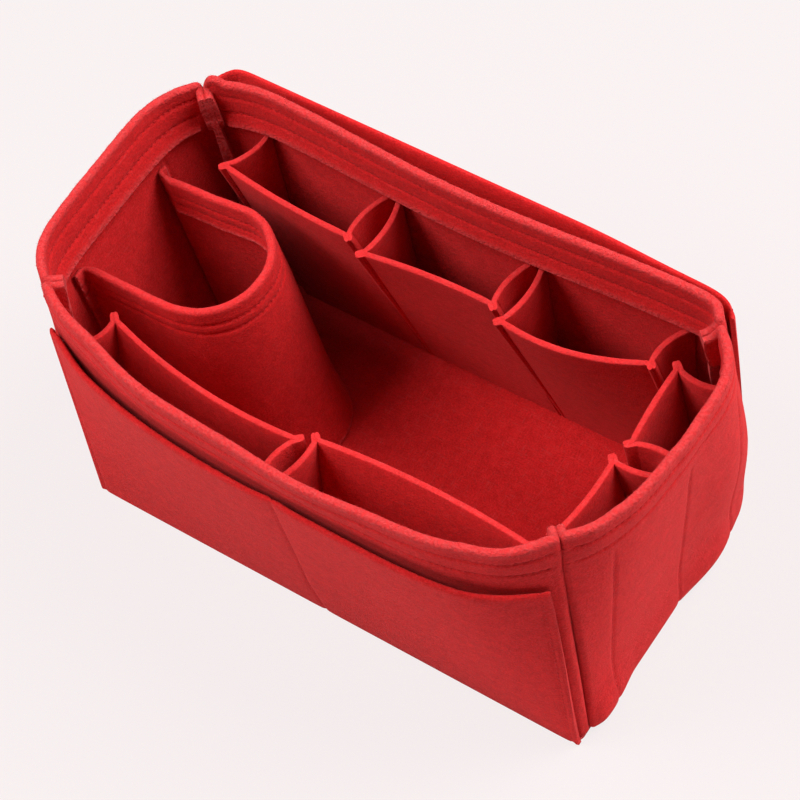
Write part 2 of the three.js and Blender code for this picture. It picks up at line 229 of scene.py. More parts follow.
def turned_end(line, through, along, radius, tip, curl=(0.0, 0.0), bend_steps=7, flap_steps=5):
    """Where a line leaves for its bend, and the bend and flap that follow, to lie along a seam."""
    along = unit(np.asarray(along, float))
    away = (line - through) @ left_of(along)
    crossings = np.nonzero(away[:-1] * away[1:] <= 0)[0]
    before = crossings[-1]
    between = away[before] / (away[before] - away[before + 1])
    met = mix(line[before], line[before + 1], between)
    lengths = lengths_along(line)
    met_length = mix(lengths[before], lengths[before + 1], between)
    heading = unit(line[before + 1] - line[before])
    turn = math.acos(float(np.clip(heading @ along, -1, 1)))
    tangent = radius * math.tan(turn / 2)
    leave_length = met_length - tangent
    entry = point_at(line, lengths, leave_length)
    heading = unit(met - entry)
    leave = met + along * tangent
    hold = radius * 4 / 3 * math.tan(turn / 4)
    share = np.linspace(0, 1, bend_steps + 1)[1:, None]
    first_hold = entry + heading * hold
    last_hold = leave - along * hold
    bend = (1 - share) ** 3 * entry + 3 * share * (1 - share) ** 2 * first_hold
    bend = bend + 3 * share ** 2 * (1 - share) * last_hold + share ** 3 * leave
    part = np.linspace(0, 1, flap_steps + 1)[1:, None]
    flap_length = max((tip - met) @ along - tangent, shortest_flap)
    flap = leave + along * flap_length * part + np.asarray(curl) * part ** 3
    return leave_length, np.concatenate([bend, flap])


def path_between(line, columns, start_turn=None, end_turn=None):
    """A line resampled to even columns, with a turned flap at either end if one is given."""
    lengths = lengths_along(line)
    begin = 0.0
    finish = lengths[-1]
    head = np.zeros((0, 2))
    tail = np.zeros((0, 2))
    if start_turn:
        left_over, head = turned_end(line[::-1], **start_turn)
        begin = lengths[-1] - left_over
        head = head[::-1]
    if end_turn:
        finish, tail = turned_end(line, **end_turn)
    body = point_at(line, lengths, np.linspace(begin, finish, columns))
    return np.concatenate([head, body, tail])


def to_ends(lengths):
    """Distance of each point of a line from the nearer of its two ends."""
    return np.minimum(lengths, lengths[-1] - lengths)


def lifted(plan, height):
    """Points seen from above, set at a height."""
    return np.column_stack([plan, np.zeros(len(plan)) + height])


def wobble(place, seed, size):
    """A gentle repeatable unevenness: a few sine waves of unrelated lengths."""
    phases = np.random.default_rng(seed).uniform(0, 2 * np.pi, len(wave_pitches))
    waves = [weight * np.sin(2 * np.pi * place / (size * pitch) + phase)
             for weight, pitch, phase in zip(wave_weights, wave_pitches, phases)]
    return sum(waves) / sum(wave_weights)


print("helpers ready, for example smooth(0.5) =", float(smooth(0.5)))

# %% [markdown]
# ## A sheet of felt
# Felt is a thick sheet, so a piece is a grid of points in the middle of its thickness, given half a
# thickness to each side and closed all round. Where the sheet is cut, the edge is rounded over a
# millimetre, as soft felt is. An attribute marks the cut edges with paler loose fibres and a painted
# highlight.

# %% From a grid of middle points to a closed sheet
edge_steps = ((0.0, 0.7), (0.22, 0.9), (0.7, 1.0))
tip_steps = ((0.0, 0.55), (0.35, 0.86), (0.9, 1.0))
edge_places = np.array([step[0] for step in edge_steps])
edge_light_width = 1.2
no_edge = 99.0
sheet_crease = math.radians(60)
sheet_pieces = {}


def link_object(name, data):
    made = bpy.data.objects.new(name, data)
    bpy.context.scene.collection.objects.link(made)
    return made


def make_mesh(name, points, faces, cut, crease):
    mesh = bpy.data.meshes.new(name)
    mesh.from_pydata((np.asarray(points) * MILLIMETRE).tolist(), [], faces)
    # Marks where paler loose fibres and a painted highlight go, on cut edges and folds.
    marks = mesh.attributes.new("fuzz_and_highlight", "FLOAT", "POINT")
    marks.data.foreach_set("value", np.asarray(cut, np.float32))
    mesh.update()
    mesh.shade_smooth()
    mesh.set_sharp_from_angle(angle=crease)
    return link_object(name, mesh)


def grid_faces(rows, columns):
    """Quads of the two faces of a sheet and of the strips that close its four sides."""
    index = np.arange(2 * rows * columns).reshape(2, rows, columns)
    front, back = index
    quads = [
        (front[:-1, :-1], front[:-1, 1:], front[1:, 1:], front[1:, :-1]),
        (back[:-1, :-1], back[1:, :-1], back[1:, 1:], back[:-1, 1:]),
        (front[0, :-1], back[0, :-1], back[0, 1:], front[0, 1:]),
        (front[-1, 1:], back[-1, 1:], back[-1, :-1], front[-1, :-1]),
        (front[1:, 0], back[1:, 0], back[:-1, 0], front[:-1, 0]),
        (front[:-1, -1], back[:-1, -1], back[1:, -1], front[1:, -1]),
    ]
    return np.concatenate([np.stack([corner.ravel() for corner in quad], axis=1) for quad in quads]).tolist()


def felt_sheet(name, middle, half, cut):
    """A closed sheet round a grid of middle points; half is half its thickness at each point."""
    across = headings(middle, axis=1)
    upward = headings(middle, axis=0)
    facing = unit(np.cross(across, upward))
    outset = facing * half[..., None]
    points = np.concatenate([middle + outset, middle - outset]).reshape(-1, 3)
    piece = make_mesh(name + "_felt", points, grid_faces(*half.shape), np.tile(cut.ravel(), 2), sheet_crease)
    sheet_pieces[name] = dict(piece=piece, middle=middle, facing=facing, half=half)
    return piece


def rounded_edge(distance, steps=edge_steps):
    """Share of the thickness that is left at a distance from a cut edge."""
    return np.interp(distance, *zip(*steps))


def rounded_tip(distance):
    """The same at the tip of a tab, where two layers are rounded as one."""
    return rounded_edge(distance, tip_steps)


def cut_light(distance, width=edge_light_width):
    """How much paler loose fibres and a painted highlight show at a distance from a cut edge."""
    return np.clip(1 - distance / width, 0, 1)


print("edge of the felt:", edge_steps)

# %% [markdown]
# ## Stitch rows in the felt
# A row of stitches draws thick felt down into a soft groove, and each stitch puckers it a little. The
# groove is made in the sheet itself, and threads are laid into it later.

# %% Grooves under the stitches
stitch_pitch = 3.2
groove_depth = 0.92
groove_width = 0.74
groove_steps = np.array([0, 0.42, 0.84, 1.4, 2.2, 3.4, 5.2])
dip_width = 4 * groove_width
dip_share = 0.2
pucker_share = 0.15
row_spacing = 7.0
least_step = 0.35
row_clearance = 0.3


def groove(distance, along, depth=groove_depth):
    """How far a face sinks at a distance from a stitch row, with a pucker at each stitch."""
    narrow = np.exp(-(distance / groove_width) ** 2 / 2)
    wide = np.exp(-(distance / dip_width) ** 2 / 2)
    pucker = 1 - pucker_share + pucker_share * np.cos(2 * np.pi * along / stitch_pitch)
    return depth * ((1 - dip_share) * narrow * pucker + dip_share * wide)


def stations(low, high, rows=()):
    """Heights between two limits, with extra ones round each stitch row."""
    count = max(2, int(round((high - low) / row_spacing)) + 1)
    extra = [row + sign * step for row in rows for sign in (-1, 1) for step in groove_steps]
    heights = np.concatenate([np.linspace(low, high, count), [at for at in extra if low < at < high]])
    heights = np.unique(np.round(heights, 3))
    keep = [heights[0]]
    exact = set(np.round(rows, 3))
    for at in heights[1:-1]:
        to_row = min([abs(at - row) for row in exact] + [row_spacing])
        if at in exact or (at - keep[-1] > least_step and to_row > row_clearance):
            keep.append(at)
    keep.append(heights[-1])
    return np.array(keep)


print("heights of a plain sheet:", len(stations(0, bin_height)))

# %% [markdown]
# ## The hem
# The top of every wall is folded over into the bin and sewn down with two rows. Seen from the end the
# felt is a hook: up the outside, round the fold, and down the inside to a cut edge. The fold is pinched
# narrower and thinner than the two layers below it.

# %% The hook of a hem, as heights and distances inwards
fold_radius = (felt + layer_gap) / 2
fold_steps = 12
fold_flatness = 0.75
fold_pinch = 0.28
fold_thin = 0.82
pinch_reach = 8.0
foot_steps = np.array([1.2, 1.6, 2.0, 2.8, 4.2])
rim_rows = (8.5, 19.0)


def hook(foot, top, hem, sewn):
    """Rows of a hemmed sheet: height, distance inwards, distance to its cut edge, share of the thickness."""
    rows = [top - row for row in sewn]
    narrow = fold_radius - fold_pinch
    fold_height = top - fold_thin * felt / 2 - narrow
    rise = np.concatenate([stations(foot, fold_height, rows), foot + edge_places, foot + foot_steps])
    rise = np.unique(rise)
    turn = np.linspace(0, np.pi, fold_steps + 1)[1:-1]
    hem_edge = top - hem
    fall = np.concatenate([stations(hem_edge, fold_height, rows), hem_edge + edge_places])
    fall = np.unique(fall)[::-1]
    over = narrow * np.sin(turn) ** fold_flatness
    across = fold_radius - narrow * np.sign(np.cos(turn)) * np.abs(np.cos(turn)) ** fold_flatness
    heights = np.concatenate([rise, fold_height + over, fall])
    drawn = ramp(heights, fold_height - pinch_reach, fold_height)
    outside = fold_pinch * drawn[:len(rise)]
    inside = 2 * fold_radius - fold_pinch * drawn[-len(fall):]
    inward = np.concatenate([outside, across, inside])
    to_edge = np.concatenate([rise - foot, 0 * turn + no_edge, fall - hem_edge])
    return heights, inward, to_edge, mix(1.0, fold_thin, drawn)


print("rows in a wall:", len(hook(felt, bin_height, rim_hem, rim_rows)[0]))

# %% [markdown]
# ## The walls
# Each wall is one hooked sheet. At the corners its upright edges turn inwards and lie against the next
# wall's, sewn through, so a two-layer fin stands inside each corner. At the rim the hem is in the fin as
# well, and four layers make the thick tab that shows at the top. The foot of the right end has slumped
# outwards into a roll, as the photograph shows, and the front runs on round the foot of its right corner
# before it reaches the seam.

# %% Lines of the slumped right end and the wrapped front
line_detail = 600
overrun = 0.06
roll_out = 3.2
roll_fade = 0.1
front_swell = dict(at=0.13, reach=0.16, out=2.6)
back_swell = dict(at=0.73, reach=0.2, out=3.6)
roll_height = 8.0
roll_start = 2.0
belly_out = 4.5
belly_height = 75.0
belly_spread = 48.0
belly_rise = (0.55, 0.85)
belly_fall = (1.0, 0.95)
front_tuck = 2.0
tuck_height = 14.0
foot_wrap = 8.0
wrap_height = 140.0
wrap_leaves = 0.994
wrap_shares = (0.014, 0.3)
wrap_detail = 120


def swelling(share, at, reach, out):
    return out * hump((share - at) / reach)


def foot_roll(share, height):
    """How far the right end has slumped out: a roll along its foot and a belly by the back corner."""
    ends = smooth(share / roll_fade) * smooth((1 - share) / roll_fade)
    along = ends * (roll_out + swelling(share, **front_swell) + swelling(share, **back_swell))
    level = height / roll_height
    swell = level * math.exp(1 - level) * ramp(height, felt, felt + roll_start)
    belly = math.exp(-((height - belly_height) / belly_spread) ** 2)
    belly = belly * ramp(share, *belly_rise) * ramp(share, *belly_fall)
    return swell * along + belly_out * belly


def slumped_right(share, height):
    line = line_points("right", share, height)
    return line - foot_roll(share, height)[:, None] * wall_frames["right"]["inward"]


def tucked_front(share, height):
    """The line of the front, whose foot is drawn in towards its right end."""
    tuck = front_tuck * np.clip(share, 0, 1) * math.exp(-height / tuck_height)
    return line_points("front", share, height) + tuck[:, None] * wall_frames["front"]["inward"]


def wrapped_front(height):
    """The line of the front wall, carried on along the right end behind the corner."""
    front = tucked_front(np.linspace(-overrun, wrap_leaves, line_detail), height)
    right = slumped_right(np.linspace(*wrap_shares, wrap_detail), height)
    return np.concatenate([front, right])


def wrap_at(height):
    """How far the front wall runs on round its right corner, before the corner seam."""
    return foot_wrap * np.clip(1 - height / wrap_height, 0, 1)


print("slump of the right end at its middle:", foot_roll(np.array([0.5]), roll_height).round(2), "mm")

# %% Path of a wall at a height
fin_beside = 0.7
fin_closing = (96.0, 130.0)
fin_wave = 0.6
fin_wave_length = 34.0
fin_seed = 5
seam_radius = (0.8, 1.8)
seam_radius_height = 60.0


def seam_of(corner, wall, height, beside, radius, reach):
    """The turn of a wall into its corner seam, beside the diagonal of the corner."""
    side = np.array(corner_sides[corner], float)
    diagonal = unit(-side)
    point = corner_at(corner, height / bin_height)
    if corner == "front_right":
        point = point + wrap_at(height) * to_back
    normal = left_of(diagonal)
    middle = line_points(wall, np.array([0.5]), height)[0]
    if normal @ (middle - point) < 0:
        normal = -normal
    return dict(through=point + normal * beside, along=diagonal, radius=radius, tip=point + diagonal * reach)


def wall_path(wall, height, columns, less=0.0):
    """Middle of the felt of a wall at a height; less is how much the corner fins are cut back there."""
    share = np.linspace(-overrun, 1 + overrun, line_detail)
    if wall == "front":
        line = wrapped_front(height)
    elif wall == "right":
        line = slumped_right(share, height)
    else:
        line = line_points(wall, share, height)
    line = line + left_of(headings(line)) * felt / 2
    beside = mix(felt / 2, fin_beside, ramp(height, *fin_closing))
    radius = mix(*seam_radius, smooth(height / seam_radius_height))
    reach = seam_allowance + fin_wave * wobble(np.array(height), fin_seed, fin_wave_length) - less
    start = seam_of(wall_lines[wall]["start"], wall, height, beside, radius, reach)
    end = seam_of(wall_lines[wall]["end"], wall, height, beside, radius, reach)
    return path_between(line, columns, start, end)


print("a wall at its rim:", wall_path("front", bin_height, 9).shape[0], "points")

# %% Grooves and corner dips of a wall
upright_seams = {"right": ((-50.0, -43.0), (7.0, 7.0), (50.0, 50.0)), "left": ((-39.0, -39.0), (39.0, 39.0))}
seam_top = 132.0
seam_fade = 4.0
hem_mark = 0.42
hem_mark_row = 29.0
fin_dip = {"front_left": 3.0, "front_right": 6.0, "back_right": 7.0, "back_left": 4.0}
dip_reach = (11.0, 2.0)
dip_band = (126.0, 156.0)
tip_lift = 3.5
tip_place = 13.0
tip_reach = 6.0
tip_band = (148.0, 158.0)


def wall_grooves(wall, plan, lengths, height, press, in_hem):
    """How far stitch rows draw a wall in: the hem's two rows everywhere, the rest on the outside alone."""
    drawn = sum(groove(height - (bin_height - row), lengths) for row in rim_rows) * (1 - press)
    if in_hem:
        return drawn
    drawn = drawn + groove(height - (bin_height - hem_mark_row), lengths, hem_mark)
    place = plan @ wall_frames[wall]["along"]
    for foot, top in upright_seams.get(wall, ()):
        seam = mix(foot, top, height / seam_top)
        drawn = drawn + groove(place - seam, height) * ramp(height, seam_top, seam_top - seam_fade)
    return drawn


def corner_dip(wall, lengths, height):
    """How far the rim sinks towards its corners; the back wall's far end stands up before it sinks."""
    line = wall_lines[wall]
    depth = np.where(lengths < lengths[-1] / 2, fin_dip[line["start"]], fin_dip[line["end"]])
    dip = depth * ramp(to_ends(lengths), *dip_reach) * ramp(height, *dip_band)
    if wall == "back":
        raised = hump((lengths[-1] - lengths - tip_place) / tip_reach)
        dip = dip - tip_lift * raised * ramp(height, *tip_band)
    return dip


print("dips at the corners:", fin_dip)

# %% Make the four walls
column_spacing = 0.8
sheet_lift = 0.05
hem_press = 0.88
hem_band = (126.0, 136.0)
hem_stand = 1.03
hem_flare = 1.5
hem_flare_reach = 4.5
hem_edge_width = 2.0
fin_press = 0.86
fin_stand = 0.8
fin_reach = (15.0, 10.0)
fin_band = (110.0, 130.0)
tab_round = 1.2
tab_round_reach = 5.0
tab_groove = 0.35
wall_sway = 0.35
sway_length = 61.0
sway_rise = 47.0
sway_foot = 40.0
sway_margin = 30.0
fold_lump = 0.14
lump_swell = fold_lump / 3
lump_length = 12.0
lump_band = (bin_height - 6, bin_height - 2)
# The top of the fold is painted paler as a highlight, and so are the cut sides at the corners, with paler
# loose fibres there too.
fold_light = 0.5
fold_light_start = 4.0
fold_light_full = 1.0
side_light = 0.8
wall_nodes = {"front": "front_wall", "back": "back_wall", "left": "left_end_wall", "right": "right_end_wall"}


def wall_row(wall, seed, columns, height, into, edge, share):
    """Middle points and half thicknesses of a wall along one row of its hook."""
    in_hem = into > felt
    less = tab_round * math.exp(-(edge / tab_round_reach) ** 2) if in_hem else 0.0
    flare = hem_flare * math.exp(-(edge / hem_flare_reach) ** 2) if in_hem else 0.0
    plan = wall_path(wall, height, columns, less)
    lengths = lengths_along(plan)
    ends = to_ends(lengths)
    press = ramp(ends, *fin_reach) * ramp(height, *fin_band)
    pressed = mix(mix(1.0, hem_press, ramp(height, *hem_band)), fin_press, press)
    sway = wall_sway * wobble(lengths, seed, sway_length) * wobble(np.array(height), seed + 1, sway_rise)
    sway = sway * smooth(height / sway_foot) * smooth(ends / sway_margin)
    inside = into * pressed * mix(hem_stand, fin_stand, press) + flare * (1 - press)
    plan = plan + left_of(headings(plan)) * (inside + sway)[:, None]
    lump = ramp(height, *lump_band) * wobble(lengths, seed + 3, lump_length)
    blunt = mix(rounded_edge(ends), 1 - tab_groove * (1 - rounded_tip(ends)), press)
    half = felt / 2 * share * rounded_edge(edge) * blunt * pressed + lump_swell * lump
    half = half - wall_grooves(wall, plan, lengths, height, press, in_hem)
    return lifted(plan, height - corner_dip(wall, lengths, height) + fold_lump * lump), half


def hemmed_sheet(name, hook_rows, made_rows, top, light):
    """A sheet from the rows made for its hook, with paler loose fibres and a painted highlight on its cut
    edges, and a painted highlight along its fold.
    """
    heights, _, to_edge, _ = hook_rows
    middle = np.array([row[0] for row in made_rows])
    half = np.array([row[1] for row in made_rows])
    sides = to_ends(lengths_along(middle[0]))
    # Paler loose fibres and a painted highlight on the cut edges and sides, and a painted highlight on the
    # top of the fold.
    cut = np.maximum(cut_light(to_edge, hem_edge_width)[:, None], side_light * cut_light(sides)[None, :])
    painted_fold_highlight = light * ramp(heights, top - fold_light_start, top - fold_light_full)
    return felt_sheet(name, middle, half, np.maximum(cut, painted_fold_highlight[:, None]))


def make_wall(wall, seed):
    columns = int(wall_frames[wall]["length"] / column_spacing)
    rows = hook(felt + sheet_lift, bin_height, rim_hem, rim_rows)
    made = [wall_row(wall, seed, columns, *row) for row in zip(*rows)]
    return hemmed_sheet(wall_nodes[wall], rows, made, bin_height, fold_light)


for place, wall in enumerate(wall_nodes):
    piece = make_wall(wall, 10 * place)
    print(piece.name, len(piece.data.polygons), "faces")

# %% [markdown]
# ## The inner pockets
# A pocket is a front panel and two gussets. Front and gusset meet in a pinched corner: both turn
# outwards and are sewn face to face, which leaves a little two-layer tab along the whole edge. The
# front goes with a body of its own, and the gussets stay with the bin.

# %% Sizes of the inner pockets
pocket_rows = {
    "back": dict(start_margin=28.5, end_margin=21.5, dividers=(0.3266, 0.666)),
    "front": dict(start_margin=24.5, end_margin=25.5, dividers=(0.5032,)),
    "right": dict(start_margin=26.0, end_margin=26.0, dividers=(0.545,)),
}


def pocket(wall, place, start_lean, end_lean, start_depth, end_depth, bulge):
    return dict(wall=wall, place=place, start_lean=start_lean, end_lean=end_lean,
                start_depth=start_depth, end_depth=end_depth, bulge=bulge)


inner_pockets = {
    "back_pocket_left": pocket("back", 0, -9.0, -2.5, 28.0, 35.4, 2.0),
    "back_pocket_middle": pocket("back", 1, 1.0, -1.75, 41.0, 36.6, -2.0),
    "back_pocket_right": pocket("back", 2, -2.25, -5.0, 42.0, 29.0, 7.0),
    "front_pocket_left": pocket("front", 0, 3.5, 4.5, 27.0, 14.4, -6.2),
    "front_pocket_right": pocket("front", 1, 3.5, 2.0, 18.0, 19.2, 3.5),
    "right_pocket_front": pocket("right", 0, 1.0, -4.75, 20.0, 17.2, -2.0),
    "right_pocket_back": pocket("right", 1, -2.25, 1.5, 14.5, 17.0, 1.0),
}
divider_room = 1.5
pocket_drop = 2.0
pocket_top = bin_height - rim_hem - pocket_drop
pocket_ridge = 2.0
depth_shares = (0.01, 0.99)
depth_detail = 400


def gusset_seams(facts):
    row = pocket_rows[facts["wall"]]
    half = wall_frames[facts["wall"]]["length"] / 2
    beside = (felt + divider_room) / 2
    place = facts["place"]
    first = row["start_margin"] - half
    last = half - row["end_margin"]
    start = first if place == 0 else mix(first, last, row["dividers"][place - 1]) + beside
    is_last = place == len(row["dividers"])
    end = last if is_last else mix(first, last, row["dividers"][place]) - beside
    return start, end


def wall_depth(wall, along, height):
    """From the edge of the base to the inner face of a wall below its hem."""
    line = line_points(wall, np.linspace(*depth_shares, depth_detail), height)
    inner = line + left_of(headings(line)) * felt
    place = inner @ wall_frames[wall]["along"]
    depth = inner @ wall_frames[wall]["inward"] + wall_frames[wall]["half"]
    order = np.argsort(place)
    return np.interp(along, place[order], depth[order])


def on_wall(wall, along, depth):
    """Points seen from above, given along a wall and in from the edge of the base."""
    facts = wall_frames[wall]
    run = np.asarray(along)[:, None] * facts["along"]
    return run + (np.asarray(depth) - facts["half"])[:, None] * facts["inward"]


def pocket_level(height):
    return (height - wall_foot) / (pocket_top - wall_foot)


def front_ends(facts, level):
    start, end = gusset_seams(facts)
    return start + mix(-felt / 2, facts["start_lean"], level), end + mix(felt / 2, facts["end_lean"], level)


def front_depth(facts, along, height):
    level = pocket_level(height)
    start, end = front_ends(facts, level)
    share = (along - start) / (end - start)
    mouth = mix(facts["start_depth"], facts["end_depth"], share) + facts["bulge"] * arch(share)
    foot = wall_depth(facts["wall"], along, wall_foot) + layer_gap + felt / 2
    return mix(foot, mouth, level)


def pinch_points(facts, height):
    """The two corners of a pocket at a height, and the directions of their tabs, along and inwards."""
    level = pocket_level(height)
    start, end = front_ends(facts, level)
    corners = []
    for along, out in ((start + pocket_ridge * level, -1), (end - pocket_ridge * level, 1)):
        depth = front_depth(facts, np.array([along]), height)[0]
        corners.append((np.array([along, depth]), unit(np.array([out, 1.0]))))
    return corners


for name, facts in inner_pockets.items():
    print(name, "between", [round(float(at), 1) for at in gusset_seams(facts)])

# %% Paths of the fronts and the gussets
tab_layer = 2.4
tab_beside = 0.9
tab_curl = 0.45
tab_reaches = (0.4, 3.3)
front_bend = dict(radius=1.6, bend_steps=7)
front_overrun = 9.0
front_overrun_slope = 0.15
front_detail = 160
gusset_bend = dict(radius=1.2, bend_steps=5)
gusset_bow = 3.0
gusset_clear = 0.1
gusset_overrun = 1.5
gusset_detail = 90
gusset_columns = 20


def tab_reach(level):
    return mix(*tab_reaches, level)


def pinch_turn(corner, out, layer, level, bend):
    """The turn of a front (layer 1) or a gusset (layer -1) into the tab of its pinched corner."""
    beside = layer * np.array([-out[0], out[1]])
    return dict(through=corner + tab_beside * beside, along=out, tip=corner + tab_reach(level) * out,
                curl=-tab_curl * beside, **bend)


def front_path(facts, height, columns):
    level = pocket_level(height)
    corners = pinch_points(facts, height)
    start, end = (corner[0] for corner, _ in corners)
    along = np.linspace(start - front_overrun, end + front_overrun, front_detail)
    inside = np.clip(along, start, end)
    slope = front_overrun_slope * np.abs(along - inside)
    line = np.column_stack([along, front_depth(facts, inside, height) - slope])
    turns = [pinch_turn(corner, out, 1, level, front_bend) for corner, out in corners]
    path = path_between(line, columns, *turns)
    return on_wall(facts["wall"], path[:, 0], path[:, 1])


def gusset_path(facts, height, end):
    """One side of a pocket, from the wall to its pinched corner; end is 0 at its start and 1 at its end."""
    level = pocket_level(height)
    corner, out = pinch_points(facts, height)[end]
    root = gusset_seams(facts)[end]
    depth = wall_depth(facts["wall"], np.array([root]), height)[0] + gusset_clear
    share = np.linspace(0, gusset_overrun, gusset_detail)
    into = 1 - 2 * end
    along = mix(root, corner[0], share) + into * gusset_bow * level * arch(share)
    run = np.column_stack([along, mix(depth, corner[1], share)])
    path = path_between(run, gusset_columns, end_turn=pinch_turn(corner, out, -1, level, gusset_bend))
    return on_wall(facts["wall"], path[:, 0], path[:, 1])


print("reach of a tab at foot and mouth:", tab_reaches)

# %% Make the fronts and the gussets
pocket_foot = wall_foot + layer_gap
pocket_levels = 22
front_spacing = 1.6
front_lump = 0.05
front_lump_length = 23.0
gusset_foot_depth = 5.0
tab_blend = 5.0
tab_top_round = 0.3
# Share of paler loose fibres and painted highlight on the cut edges of pockets.
pocket_light = 0.2


def sheet_from_paths(name, heights, path_of, thickness):
    """A sheet from a path at each height, cut along its top and its sides."""
    middle = []
    half = []
    for height in heights:
        plan = path_of(height)
        lengths = lengths_along(plan)
        thick = thickness(lengths, height, heights[-1] - height)
        middle.append(lifted(plan, height))
        half.append(thick * rounded_tip(to_ends(lengths)))
    middle = np.array(middle)
    sides = to_ends(lengths_along(middle[-1]))
    # Paler loose fibres and a painted highlight along the top and the sides.
    cut = np.maximum(cut_light(heights[-1] - heights)[:, None], cut_light(sides)[None, :])
    return felt_sheet(name, middle, np.array(half), pocket_light * cut)


def pocket_heights(foot):
    heights = np.concatenate([np.linspace(foot, pocket_top, pocket_levels), pocket_top - edge_places[1:]])
    return np.unique(np.round(heights, 3))


def pinched_half(from_tab, height, edge):
    """Half the thickness of a front or gusset: its tab is thinner and blunter than the rest."""
    outside = smooth((from_tab - tab_reach(pocket_level(height))) / tab_blend)
    top = rounded_edge(edge)
    return mix(tab_layer / 2, felt / 2, outside) * mix(1 - tab_top_round * (1 - top), top, outside)


def gusset_half(lengths, height, edge):
    return pinched_half(lengths[-1] - lengths, height, edge)


def make_pocket(name, facts, seed):
    seams = gusset_seams(facts)
    columns = int((seams[1] - seams[0]) / front_spacing)

    def front_half(lengths, height, edge):
        lumps = front_lump * wobble(lengths + height, seed, front_lump_length)
        return pinched_half(to_ends(lengths), height, edge) + lumps

    def front_at(height):
        return front_path(facts, height, columns)

    sheet_from_paths(name + "_front", pocket_heights(pocket_foot), front_at, front_half)
    foot = mix(wall_foot, pocket_top, gusset_foot_depth / facts["start_depth"])
    for end, word in enumerate(("start", "end")):
        def gusset_at(height):
            return gusset_path(facts, height, end)
        sheet_from_paths(name + "_gusset_" + word, pocket_heights(foot), gusset_at, gusset_half)


for seed, (name, facts) in enumerate(inner_pockets.items()):
    make_pocket(name, facts, seed)
print("felt sheets so far:", len(sheet_pieces))

# %% [markdown]
# ## The bottle holder
# One band of felt, bent to a loop and sewn to the left end by a flange at each end. Its top has a hem of
# its own. It leans out towards its foot, where the band flares on the floor.

# %% Path of the bottle holder at a height
holder_drop = 7.0
holder_top = bin_height - rim_hem - holder_drop
holder_radius = 33.0
holder_shift = 2.0
holder_ends = (-31.5, 30.5)
holder_behind = -25.0
holder_nose_top = 42.0
holder_nose_foot = 57.0
holder_columns = 260
loop_detail = 80
leg_detail = 30
flange = 6.0
flange_clear = 1.6
flange_radius = 2.2
flare_out = 8.0
flare_height = 36.0


def holder_path(height):
    nose = mix(holder_nose_foot, holder_nose_top, height / holder_top)
    angle = np.linspace(-np.pi / 2, np.pi / 2, loop_detail)
    flare = flare_out * np.clip(1 - height / flare_height, 0, 1) ** 2
    radius = holder_radius + flare * np.cos(angle) ** 2
    curve = np.column_stack([holder_shift + radius * np.sin(angle), nose + radius * np.cos(angle)])
    leg = np.linspace(0, 1, leg_detail)[:, None]
    first = mix(np.array([holder_ends[0], holder_behind]), curve[0], leg[:-1])
    last = mix(curve[-1], np.array([holder_ends[1], holder_behind]), leg[1:])
    turns = []
    for side, end in zip((-1, 1), holder_ends):
        places = np.array([end, end + side * flange])
        near, far = np.column_stack([places, wall_depth("left", places, height) + flange_clear])
        turns.append(dict(through=near, along=far - near, radius=flange_radius, tip=far))
    path = path_between(np.concatenate([first, curve, last]), holder_columns, *turns)
    return on_wall("left", path[:, 0], path[:, 1])


print("holder at its top:", len(holder_path(holder_top)), "points")

# %% Make the bottle holder
holder_hem = 21.0
holder_hem_blend = 8.0
holder_rows = (9.5, 15.5)
holder_lift = 0.1
holder_press = 0.84
holder_flare = 1.0
holder_flare_reach = 1.7
# Painted highlight along the fold of the holder's hem.
holder_light = 0.25
holder_sway = 0.4
holder_sway_length = 58.0
holder_sway_foot = 50.0
holder_seed = 71
flange_stand = 0.12
flange_blend = (flange - 1, flange + 6)


def holder_row(height, into, edge, share):
    """Middle points and half thicknesses of the holder along one row of its hook."""
    plan = holder_path(height)
    lengths = lengths_along(plan)
    sides = to_ends(lengths)
    free = ramp(sides, *flange_blend)
    flare = holder_flare * np.exp(-(edge / holder_flare_reach) ** 2) if into > felt * holder_press else 0.0
    sway = holder_sway * wobble(lengths, holder_seed, holder_sway_length) * smooth(height / holder_sway_foot)
    inside = (into * holder_press + flare) * mix(flange_stand, 1.0, free) + sway * free
    plan = plan + left_of(headings(plan)) * inside[:, None]
    hem_edge = holder_top - holder_hem
    pressed = mix(1.0, holder_press, ramp(height, hem_edge - holder_hem_blend, hem_edge))
    half = felt / 2 * share * rounded_edge(edge) * rounded_edge(sides) * pressed
    half = half - sum(groove(height - (holder_top - row), lengths) for row in holder_rows)
    return lifted(plan, height), half


hook_rows = hook(felt + holder_lift, holder_top, holder_hem, holder_rows)
made_rows = [holder_row(*row) for row in zip(*hook_rows)]
holder = hemmed_sheet("bottle_holder", hook_rows, made_rows, holder_top, holder_light)
print(holder.name, len(holder.data.polygons), "faces")

# %% [markdown]
# ## The slip pockets outside
# One flat panel lies on the front, sewn at its ends, its foot and a seam in the middle, and another on
# the back. They bend open at the mouth while their edges stay sewn down. Each pocket is made in two
# halves that meet in its middle, each from its sewn edge to the free middle.

# %% Path of a slip panel at a height
slip_gap = 0.7
slip_foot_gap = 0.15
slip_foot = 0.4
slip_detail = 500
front_slip_top = bin_height - 30.0
back_slip_top = bin_height - 10.0
front_slip = dict(wall="front", top=front_slip_top, gape=2.4, start=0.0095, end=0.984)
back_slip = dict(wall="back", top=back_slip_top, gape=0.0, start=0.012, end=0.998)
back_slip_line = dict(bow=18.4, peak=0.7, start_power=40.0, end_power=36.0)
back_slip_line.update(sag=2.6, sag_at=0.06, sag_reach=0.25)
front_foot_end = 1.0
seam_mouth_share = 0.54
seam_foot_share = 0.503
seam_bend_height = 35.0
seam_pull = 0.35
seam_pull_reach = 0.03
gape_margin = 0.12
mouth_rise = 4.5
mouth_fall = 2.5
mouth_fall_shares = (0.8, 1.0)


